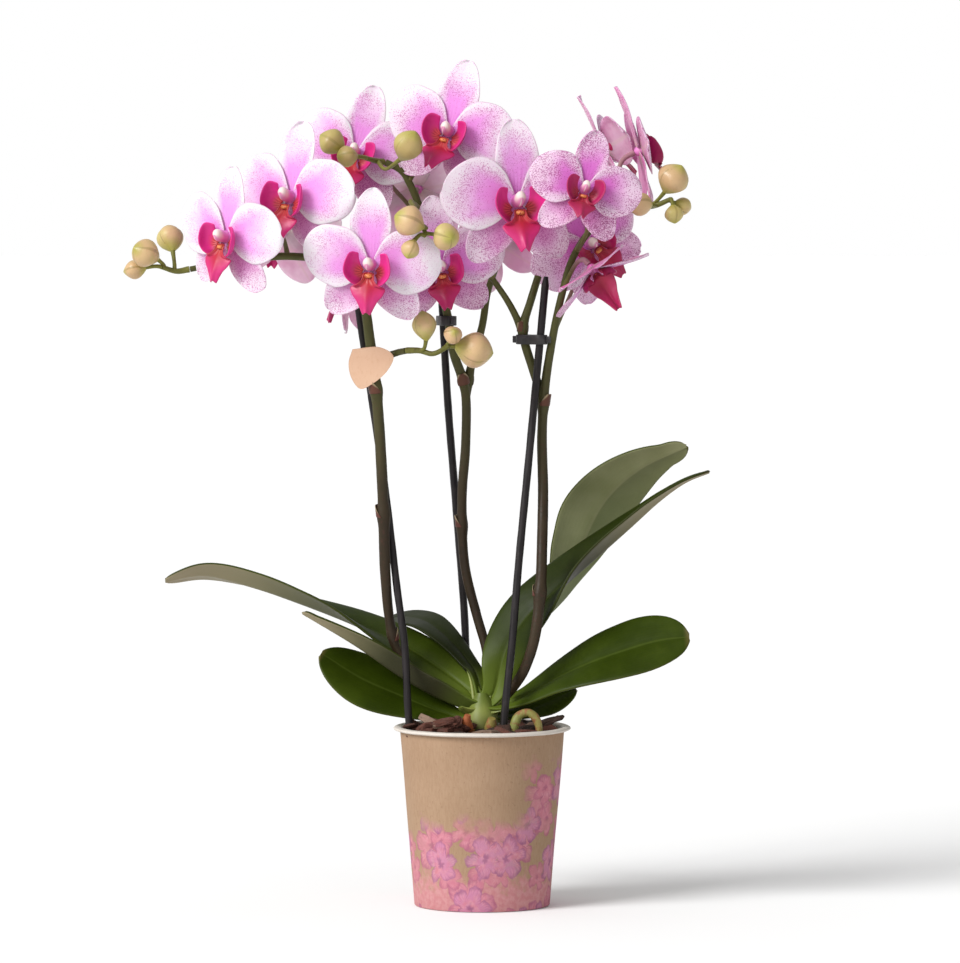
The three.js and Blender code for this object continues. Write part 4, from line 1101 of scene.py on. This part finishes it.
def leaf_blade(leaf, seed):
    route = Route(leaf["rib"])
    phase = random.Random(seed).uniform(0, 6)
    inward = (route.point(0) - clasp_line(route, 1)).length / route.length

    def groove(t):
        return -GROOVE_DEPTH * exp(-((t / GROOVE_WIDTH) ** 2))

    def folded(s, t, rib, width, fold, lift):
        """A point of the blade: t across it, its half raised by the fold and then by the lift."""
        side, raised = leaf_frame(leaf, route, s)
        return rib + raised * (width * abs(t) * sin(fold) + lift) - side * (width * t * cos(fold))

    def clasp(k, t):
        """The part inside the foot of the blade, which narrows and folds up as it runs into the crown."""
        fold = radians(leaf["near"][0] if t < 0 else leaf["far"][0]) * (1 - k) + radians(CLASP["fold"]) * k
        width = leaf["half"] * leaf["widths"][0] * (1 - k) + CLASP["width"] * k
        return folded(0, t, clasp_line(route, k), width, fold, groove(t))

    def place(s, t):
        s = s * (1 + inward) - inward
        if s < 0:
            return clasp(-s / inward, t)
        fold = radians(along(leaf["near"] if t < 0 else leaf["far"], s))
        blunt = leaf["blunt"]
        end = max(0.0, (s - blunt) / (1 - blunt))
        width = leaf["half"] * along(leaf["widths"], min(s, blunt)) * max(sqrt(max(1 - end * end, 0)), 0.1)
        droop = -0.07 * width * abs(t) ** 3
        swell = 0.6 * sin(7 * s + phase + 2 * t) * t * t
        return folded(s, t, route.point(s), width, fold, groove(t) * (1 - 0.7 * s) + droop + swell)

    raised = leaf_frame(leaf, route, 0.5)[1]
    look = route.point(0.5) + raised * 200
    piece = sheet(12, 44, place, LEAF_THICKNESS, (LEAF_TOP, LEAF_UNDER), look, tone=leaf["painted_shade"])
    return complete(piece, leaf["name"] + "_blade", leaf["name"])


def leaf_base(leaf):
    """The thick foot of a leaf, which lies under its blade and merges with the neck."""
    route = Route(leaf["rib"])
    side, raised = leaf_frame(leaf, route, 0)
    opened = leaf["half"] * leaf["widths"][0]

    def shape(u, turn, r):
        closed = min(1, 3.2 * sqrt(max(u * (1 - u), 0)))
        wide = (LEAF_FOOT["width"] + (opened - LEAF_FOOT["width"]) * u) * closed
        tall = (LEAF_FOOT["depth"] + (LEAF_FOOT["thin"] - LEAF_FOOT["depth"]) * u) * closed
        groove = 0.3 * wide * abs(cos(turn)) ** 1.4
        centre = clasp_line(route, 1 - u) + raised * (groove - 2.2 + 0.8 * u)
        return centre + side * (wide * cos(turn)) + raised * (tall * sin(turn))

    return rounded(28, 26, shape, CROWN)


def crown():
    """The short stem, wrapped in the broad base of each leaf, with two root tips in front."""
    core = Route([[0, 0, 80], [0, -0.5, 92], [0, 0, 102], [0, 0.5, 110]])
    parts = [stem(core, [8.5, 9.2, 8, 3.4], 20, CROWN, fine=4)]
    parts += [leaf_base(leaf) for leaf in LEAVES]
    for tip in ROOT_TIPS:
        parts.append(stem(Route(tip["route"]), tip["radii"], 20, ROOT, kind=tip["red"], fine=3))
    return complete(join(parts), "crown_with_leaf_bases", "crown")


def live_root():
    def radius(u):
        return (2.7 - 0.9 * u) * (1 + 0.07 * sin(23 * u))

    piece = stem(Route(ROOT_ROUTE), radius, 40, ROOT, kind=0.2, fine=3)
    return complete(piece, "looping_root", "root_loop")


# ---- Stakes, clips and label ---------------------------------------------------------------------------


def stake_rod(stake):
    def radius(u):
        tip = min(u, 1 - u) * 60
        return STAKE_RADIUS * min(1, 0.55 + tip) * (1 + 0.02 * sin(90 * u))

    piece = stem(Route(stake["route"]), radius, 60, STAKE)
    return complete(piece, stake["name"] + "_rod", stake["name"])


def clip_band(clip):
    """A moulded band round the stem and its stake, with a finger tab at each end."""
    (ax, ay, ar), (bx, by, br) = clip["stems"]
    toward = atan2(by - ay, bx - ax)
    ends = ((bx, by, br, toward), (ax, ay, ar, toward + pi))
    rim = []
    for x, y, r, middle in ends:
        for angle in range(-90, 91, 18):
            turn = middle + radians(angle)
            rim.append((x + (r + 1.7) * cos(turn), y + (r + 1.7) * sin(turn)))
    clear_selection()
    bpy.ops.mesh.primitive_circle_add(vertices=len(rim), radius=MM)
    band = bpy.context.object
    for vertex, (x, y) in zip(band.data.vertices, rim):
        vertex.co = Vector((x, y, clip["z"] - 2.5)) * MM
    edit(band)
    bpy.ops.mesh.extrude_region_move(TRANSFORM_OT_translate={"value": (0, 0, 5 * MM)})
    face_outward(band)
    modify(band, "SOLIDIFY", thickness=1.2 * MM, offset=-1)
    modify(band, "BEVEL", width=0.3 * MM, segments=2, limit_method="ANGLE")
    parts = [band]
    for x, y, r, middle in ends:
        clear_selection()
        bpy.ops.mesh.primitive_cube_add(size=1)
        tab = bpy.context.object
        size = Matrix.Diagonal((3.4 * MM, 1.2 * MM, 3.6 * MM, 1))
        at = Vector((x + (r + 2.7) * cos(middle), y + (r + 2.7) * sin(middle), clip["z"])) * MM
        tab.data.transform(Matrix.Translation(at) @ Matrix.Rotation(middle, 4, "Z") @ size)
        modify(tab, "BEVEL", width=0.45 * MM, segments=2)
        parts.append(tab)
    piece = join(parts)
    coat(piece, CLIP)
    smooth(piece, 40)
    return complete(piece, clip["name"] + "_band", clip["name"])


def label_card():
    """A bare drop of card, a little curled."""
    knots = [Vector((x, 0, z)) for x, z in LABEL_OUTLINE]
    loop = Route([*knots, knots[0]])
    clear_selection()
    bpy.ops.mesh.primitive_circle_add(vertices=56, radius=MM, fill_type="NGON")
    card = bpy.context.object
    for i, vertex in enumerate(card.data.vertices):
        vertex.co = loop.point(i / 56) * MM
    edit(card)
    bpy.ops.mesh.inset(thickness=0.4 * MM)
    bpy.ops.mesh.extrude_region_move(TRANSFORM_OT_translate={"value": (0, -0.12 * MM, 0)})
    face_outward(card)
    modify(card, "SOLIDIFY", thickness=0.75 * MM, offset=0)
    place = Matrix.Translation(Vector(LABEL_PLACE["at"]) * MM)
    card.data.transform(place @ Matrix.Rotation(radians(LABEL_PLACE["lean"]), 4, "X"))
    coat(card, CARD)
    smooth(card, 40)
    return complete(card, "bare_label", "label")


# ---- Spikes and buds -----------------------------------------------------------------------------------


def facing(bloom):
    a, e, r = radians(bloom["turn"]), radians(bloom["tip"]), radians(bloom["roll"])
    out = Vector((sin(a) * cos(e), -cos(a) * cos(e), sin(e)))
    right = UP.cross(out).normalized()
    up = out.cross(right)
    return Matrix((right * cos(r) - up * sin(r), up * cos(r) + right * sin(r), out)).transposed()


def pedicel(bloom):
    """A slender stalk that rises from the spike and meets the back of its bloom."""
    out = facing(bloom) @ UP
    end = Vector(bloom["at"]) - out * (HUB_BACK * bloom["size"] + 0.3)
    knots = [Vector(k) for k in bloom["stalk"]]
    start = knots[-1]
    span = (end - start).length
    leave = ((end - start).normalized() + Vector((0, 0, 0.5))).normalized() * 0.35 * span
    bow = interpolate_bezier(start, start + leave, end - out * 0.42 * span, end, 7)
    return stem(Route([*knots[:-1], *bow]), [1.6, 1.2, 1.15, 1.25, 1.6], 24, SPIKE, kind=1.0)


def bract(route, u, radius, turn):
    """A small papery scale that hugs the stem at a joint."""
    at, ahead = route.point(u), route.heading(u)
    side = ahead.cross(Vector((cos(turn), sin(turn), 0.1))).normalized()
    out = side.cross(ahead).normalized()

    def place(s, t):
        wrap = t * (1.9 - 1.3 * s)
        away = radius * (1.04 + 0.1 * s)
        return at + ahead * (6.5 * s - 2) + out * (away * cos(wrap)) + side * (away * sin(wrap))

    return sheet(8, 6, place, 0.4, (SPIKE,), at + out * 100, tone=0.5, closer=False)


def flower_spike(spike):
    parts = []
    joints = [Vector(row[:3]) for row in spike["joints"]]
    for row in spike["stems"]:
        route = Route(row["route"])

        def radius(u, route=route, radii=row["radii"]):
            here = route.point(u)
            swell = sum(exp(-(((here - joint).length / 4.2) ** 2)) for joint in joints)
            return along(radii, u) * (1 + 0.3 * swell) * (1 + 0.03 * noise.noise(here * 0.2))

        parts.append(stem(route, radius, max(20, int(route.length / 2.2)), SPIKE, fine=3))
        for joint in joints:
            near = min(range(101), key=lambda i: (route.point(i / 100) - joint).length)
            if (route.point(near / 100) - joint).length < 2.5:
                parts.append(bract(route, near / 100, along(row["radii"], near / 100) * 1.25, near))
    stalks = [bloom for bloom in BLOOMS if bloom["spike"] == spike["name"]]
    parts += [pedicel(bloom) for bloom in stalks]
    return complete(join(parts), spike["name"] + "_stems", spike["name"])


def bud_body(bud, seed, green):
    """A plump bud: three sepals pressed edge to edge, so it has three soft seams."""
    draw = random.Random(seed)
    way = Vector(bud["to"]).normalized()
    foot = Vector(bud["at"]) - way * bud["length"] / 2
    side = way.orthogonal().normalized()
    other = way.cross(side)
    phase = draw.uniform(0, 2)
    tone = min(green + draw.uniform(0, 0.3), 1)

    def shape(u, turn, r):
        bulge = bud["radius"] * sin(pi * u ** 1.16) ** 0.78 if 0 < u < 1 else 0
        seam = exp(-((((turn - phase) % (2 * pi / 3) - pi / 3) / 0.16) ** 2))
        ridge = 1 + 0.03 * cos(3 * (turn - phase)) - 0.05 * seam
        out = (side * cos(turn) + other * sin(turn)) * bulge * ridge
        return foot + way * (bud["length"] * (0.015 + 0.97 * u)) + out

    return rounded(24, 18, shape, BUD, tone=tone)


def bud_spray(spray, seed):
    parts = [stem(Route(spray["twig"]), [1.7, 1.4, 1.2], 16, SPIKE, kind=-0.6)]
    for i, bud in enumerate(spray["buds"]):
        way = Vector(bud["to"]).normalized()
        foot = Vector(bud["at"]) - way * bud["length"] / 2
        start = Vector(bud["root"])
        half = start.lerp(foot, 0.5) - way * 0.18 * (start - foot).length
        route = Route([start, half, foot + way * bud["length"] * 0.12])
        parts.append(stem(route, [1.2, 1.0, 1.3], 12, SPIKE, kind=-0.9))
        parts.append(bud_body(bud, seed + i, spray["green"]))
    return complete(join(parts), spray["name"] + "_spray", spray["name"])


# ---- Blooms --------------------------------------------------------------------------------------------

# The half width of a tepal along its length, and from where and how bluntly its tip closes.
EDGES = dict(
    petal=dict(
        rows=[(0, 0.18), (0.07, 0.42), (0.16, 0.68), (0.28, 0.88), (0.42, 0.99), (0.5, 1), (1, 1)],
        start=0.5, power=2.5),
    sepal=dict(rows=[(0, 0.34), (0.12, 0.58), (0.3, 0.88), (0.46, 1), (1, 1)], start=0.46, power=2.3),
)


def half_width(edge, s):
    end = max(0.0, (s - edge["start"]) / (1 - edge["start"]))
    return between(edge["rows"], s) * max((1 - end ** edge["power"]) ** (1 / edge["power"]), 0.17)


def tepal(bloom, shape, turned_to, draw):
    """One sepal or petal: cupped, its edge gently waved."""
    edge = EDGES[shape["kind"]]
    lean = radians(shape["lean"] + draw.uniform(-2, 2))
    direction = Vector((cos(lean), sin(lean), 0))
    sideways = Vector((-direction.y, direction.x, 0))
    closed = radians(bloom.get("cup", 0) / (1 if shape["kind"] == "petal" else 5))
    waves, phase = draw.uniform(5, 8), draw.uniform(0, 6)
    ruffle, twist = draw.uniform(0.5, 1.1), draw.uniform(-1.2, 1.2)
    bend = shape["bend"] * draw.uniform(0.7, 1.35)
    plump, lopsided = draw.uniform(0.95, 1.02), draw.uniform(-0.07, 0.07)
    at = Vector(bloom["at"])

    def place(s, t):
        wide = half_width(edge, s) * t
        flat = shape["reach"] * s * (1 - 0.12 * wide * wide * s)
        flat *= 1 + 0.02 * (1 - s ** 6) * s * sin(5 * t + phase)
        lift = shape["rise"] * s - bend * s * s - shape["sag"] * t * t * s
        lift += ruffle * t * t * s * sin(waves * s + phase + 1.5 * t) + twist * t * s
        out = shape["foot"][0] + flat * cos(closed) - lift * sin(closed)
        forward = shape["foot"][1] + flat * sin(closed) + lift * cos(closed)
        uneven = (lopsided * t + 0.022 * t * t * sin(9 * s + phase)) * (1 - s ** 8)
        aside = shape["half"] * wide * (plump + uneven)
        point = UP * forward + direction * out + sideways * aside
        return at + turned_to @ (point * bloom["size"])

    look = at + turned_to @ Vector((0, 0, 400))
    low = shape["kind"] == "sepal" and shape["lean"] > 180
    tone = min(bloom["depth"] + (0.3 if low else 0) + draw.uniform(-0.05, 0.05), 1)
    return sheet(14, 20, place, TEPAL_THICKNESS, (PETAL, PETAL_BACK), look, kind=float(low), tone=tone)


# The hub and column from back to front: how far forward, how high, half as wide and half as tall.
COLUMN_ROUNDS = (
    (-3.4, -2.4, -1, 1, 3, 5, 6.8, 8.2, 9.4, 10),
    (0, 0, 0, 0, 0.4, 1, 1.6, 2, 2.3, 2.4),
    (0.9, 2.2, 3.1, 3.3, 2.9, 2.6, 2.5, 2.3, 1.6, 0.2),
    (0.9, 2.2, 3.1, 3.3, 3.2, 3.2, 3.3, 3, 2, 0.2),
)


def column(bloom, turned_to):
    """The hub and the column, which rises a little and ends in a hooded cap."""
    at = Vector(bloom["at"])

    def shape(u, turn, r):
        forward, height, wide, tall = (along(row, u) for row in COLUMN_ROUNDS)
        if not 0 < u < 1:
            wide = tall = 0
        hood = 1 - 0.3 * max(0, -cos(turn)) * u
        point = Vector((max(wide, 0) * hood * sin(turn), height + max(tall, 0) * cos(turn), forward))
        return at + turned_to @ (point * bloom["size"])

    return rounded(16, 22, shape, COLUMN)


def orchid_bloom(bloom, seed):
    draw = random.Random(seed)
    turned_to = facing(bloom)
    parts = [tepal(bloom, shape, turned_to, draw) for shape in TEPALS]
    parts.append(column(bloom, turned_to))
    return complete(join(parts), bloom["name"] + "_petals", bloom["name"])


# The half width of the tongue from root to tip, its middle line, the point where it bends forward, and
# the rim of a side lobe.
TONGUE = [
  (0, 2.6), (0.18, 3), (0.28, 4.6), (0.37, 8), (0.45, 9), (0.58, 8), (0.78, 5), (0.93, 2.9), (1, 1.8),
]
SPINE = [[0, -3.4, 2.8], [0, -7, 5], [0, -11, 7.6], [0, -16, 9.8], [0, -21.6, 11.2]]
NOTCH = Vector((0, -9, 6.2))
LOBE_RIM = [
  [4.8, 6.4, 4.4], [9.2, 7.2, 6.8], [11.4, 2.6, 9.2], [11, -3.2, 10.2], [7.6, -8, 9.2], [3.4, -10, 7.2],
]


def lip(bloom, seed):
    """Two upright side lobes that cup the column, and a kite of a tongue that ends in two short horns."""
    turned_to, at, size = facing(bloom), Vector(bloom["at"]), bloom["size"]
    depth = bloom["depth"]
    thrust, longer = radians(bloom.get("thrust", 0)), bloom.get("tongue", 1) - 1
    lean = random.Random(seed).uniform(-0.6, 0.6)
    spine, rim = Route(SPINE), Route(LOBE_RIM)

    def put(point):
        return at + turned_to @ (point * size)

    def tongue(s, t):
        wide = between(TONGUE, s)
        keel = 0.9 * exp(-((t / 0.2) ** 2)) * (0.3 + s)
        curl = -1.1 * t * t * (1 if s > 0.36 else -2.2)
        notch = 1.8 * max(0, s - 0.82) / 0.18 * abs(t)
        point = spine.point(s) + Vector((wide * t + lean * s * s, -notch, keel + curl)) - NOTCH
        past = min(max((s - 0.26) / 0.14, 0), 1)
        point = Vector((point.x, point.y * (1 + longer * past), point.z * (1 + longer * past)))
        return put(NOTCH + Matrix.Rotation(-thrust * past, 3, "X") @ point)

    def side_lobe(way):
        root = Vector((1.8, -3.8, 2.4))

        def place(s, t):
            grown = 0.1 + 0.9 * s
            point = root.lerp(rim.point((t + 1) / 2), grown)
            hollow = sin(pi * min(grown, 1)) * (1 - 0.35 * t * t)
            point += Vector((2.3 * hollow, -0.8 * hollow, -1.6 * hollow))
            point.x += 0.35 * sin(5 * t + seed) * s * s
            return put(Vector((point.x * way, point.y, point.z)))

        return sheet(16, 10, place, LIP_THICKNESS, (LIP,), kind=1.0, tone=depth, closer=False)

    def callus(u, turn, r):
        bulge = 1.7 * r * (1 + 0.25 * cos(2 * turn))
        return put(Vector((bulge * cos(turn), -4.8 + bulge * 0.8 * sin(turn), 3.4 + 3.4 * u)))

    parts = [sheet(12, 26, tongue, LIP_THICKNESS, (LIP,), tone=depth, closer=False)]
    parts += [side_lobe(1), side_lobe(-1), rounded(12, 10, callus, CALLUS)]
    return complete(join(parts), bloom["name"] + "_lip_lobes", bloom["name"] + "_lip")


# ---- Making the plant ----------------------------------------------------------------------------------

clear_selection()
paper_pot()
bark_bed()
crown()
live_root()
for number, each in enumerate(LEAVES):
    leaf_blade(each, 40 + number)
for each in STAKES:
    stake_rod(each)
for each in CLIPS:
    clip_band(each)
label_card()
for each in SPIKES:
    flower_spike(each)
for number, each in enumerate(SPRAYS):
    bud_spray(each, 60 + 10 * number)
for number, each in enumerate(BLOOMS):
    orchid_bloom(each, 200 + number)
    lip(each, 300 + number)

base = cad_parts["pot_base"]
base.data.materials.clear()
base.data.materials.append(RIM)

# ---- Floor, light and camera ---------------------------------------------------------------------------

CAMERA_AT, CAMERA_AIM = Vector((-0.0011, -3.0, 0.362)), Vector((-0.0011, 0, 0.2199))
LENS = 216.75
LIGHT_WAY = Vector((0.66, 0.52, -0.55))


def floor():
    clear_selection()
    bpy.ops.mesh.primitive_plane_add(size=80, location=(0, 0, -0.0003))
    piece = bpy.context.object
    piece.name = "studio_floor"
    f = Finish("studio_floor_pale", Roughness=0.9, Specular_IOR_Level=0.1)
    dust = f.grain(3.0, 2.0)
    ends = {0: dust, 6: (0.9, 0.9, 0.9, 1), 7: (0.94, 0.94, 0.935, 1)}
    pale = f.node("ShaderNodeMix", ends, data_type="RGBA").outputs[2]
    f.tree.links.new(pale, f.shader.inputs["Base Color"])
    coat(piece, f.material)


def key_light():
    """A broad soft lamp, high in front on the left."""
    clear_selection()
    bpy.ops.object.light_add(type="SUN", location=(-2, -2, 2))
    lamp = bpy.context.object
    lamp.name = "key_soft_left"
    lamp.data.angle = radians(28)
    lamp.data.energy = 3.1
    lamp.rotation_euler = LIGHT_WAY.to_track_quat("-Z", "Y").to_euler()


def camera():
    clear_selection()
    bpy.ops.object.camera_add(location=CAMERA_AT)
    view = bpy.context.object
    view.name = "photo_view"
    view.rotation_euler = (CAMERA_AIM - CAMERA_AT).to_track_quat("-Z", "Y").to_euler()
    view.data.sensor_width = 36
    view.data.lens = LENS
    view.data.clip_end = 200
    bpy.context.scene.camera = view


def daylight():
    """A white room: bright all round at eye level, dimmer above, and dimmest above on the right."""
    world = bpy.data.worlds.new("soft_white_room")
    world.use_nodes = True
    tree = world.node_tree

    def step(value, start, end, low, high):
        made = tree.nodes.new("ShaderNodeMapRange")
        tree.links.new(value, made.inputs[0])
        for socket, number in zip(made.inputs[1:5], (start, end, low, high)):
            if isinstance(number, float):
                socket.default_value = number
            else:
                tree.links.new(number, socket)
        return made.outputs[0]

    way = tree.nodes.new("ShaderNodeSeparateXYZ")
    tree.links.new(tree.nodes.new("ShaderNodeTexCoord").outputs["Generated"], way.inputs[0])
    above = step(way.outputs["X"], -0.3, 0.7, 0.7, 0.36)
    sky = tree.nodes["Background"]
    sky.inputs["Color"].default_value = (1, 1, 1, 1)
    tree.links.new(step(way.outputs["Z"], 0.12, 0.3, 1.0, above), sky.inputs["Strength"])
    bpy.context.scene.world = world


floor()
daylight()
key_light()
camera()
bpy.context.scene.view_settings.view_transform = "Standard"
bpy.context.scene.view_settings.look = "None"

clear_selection()
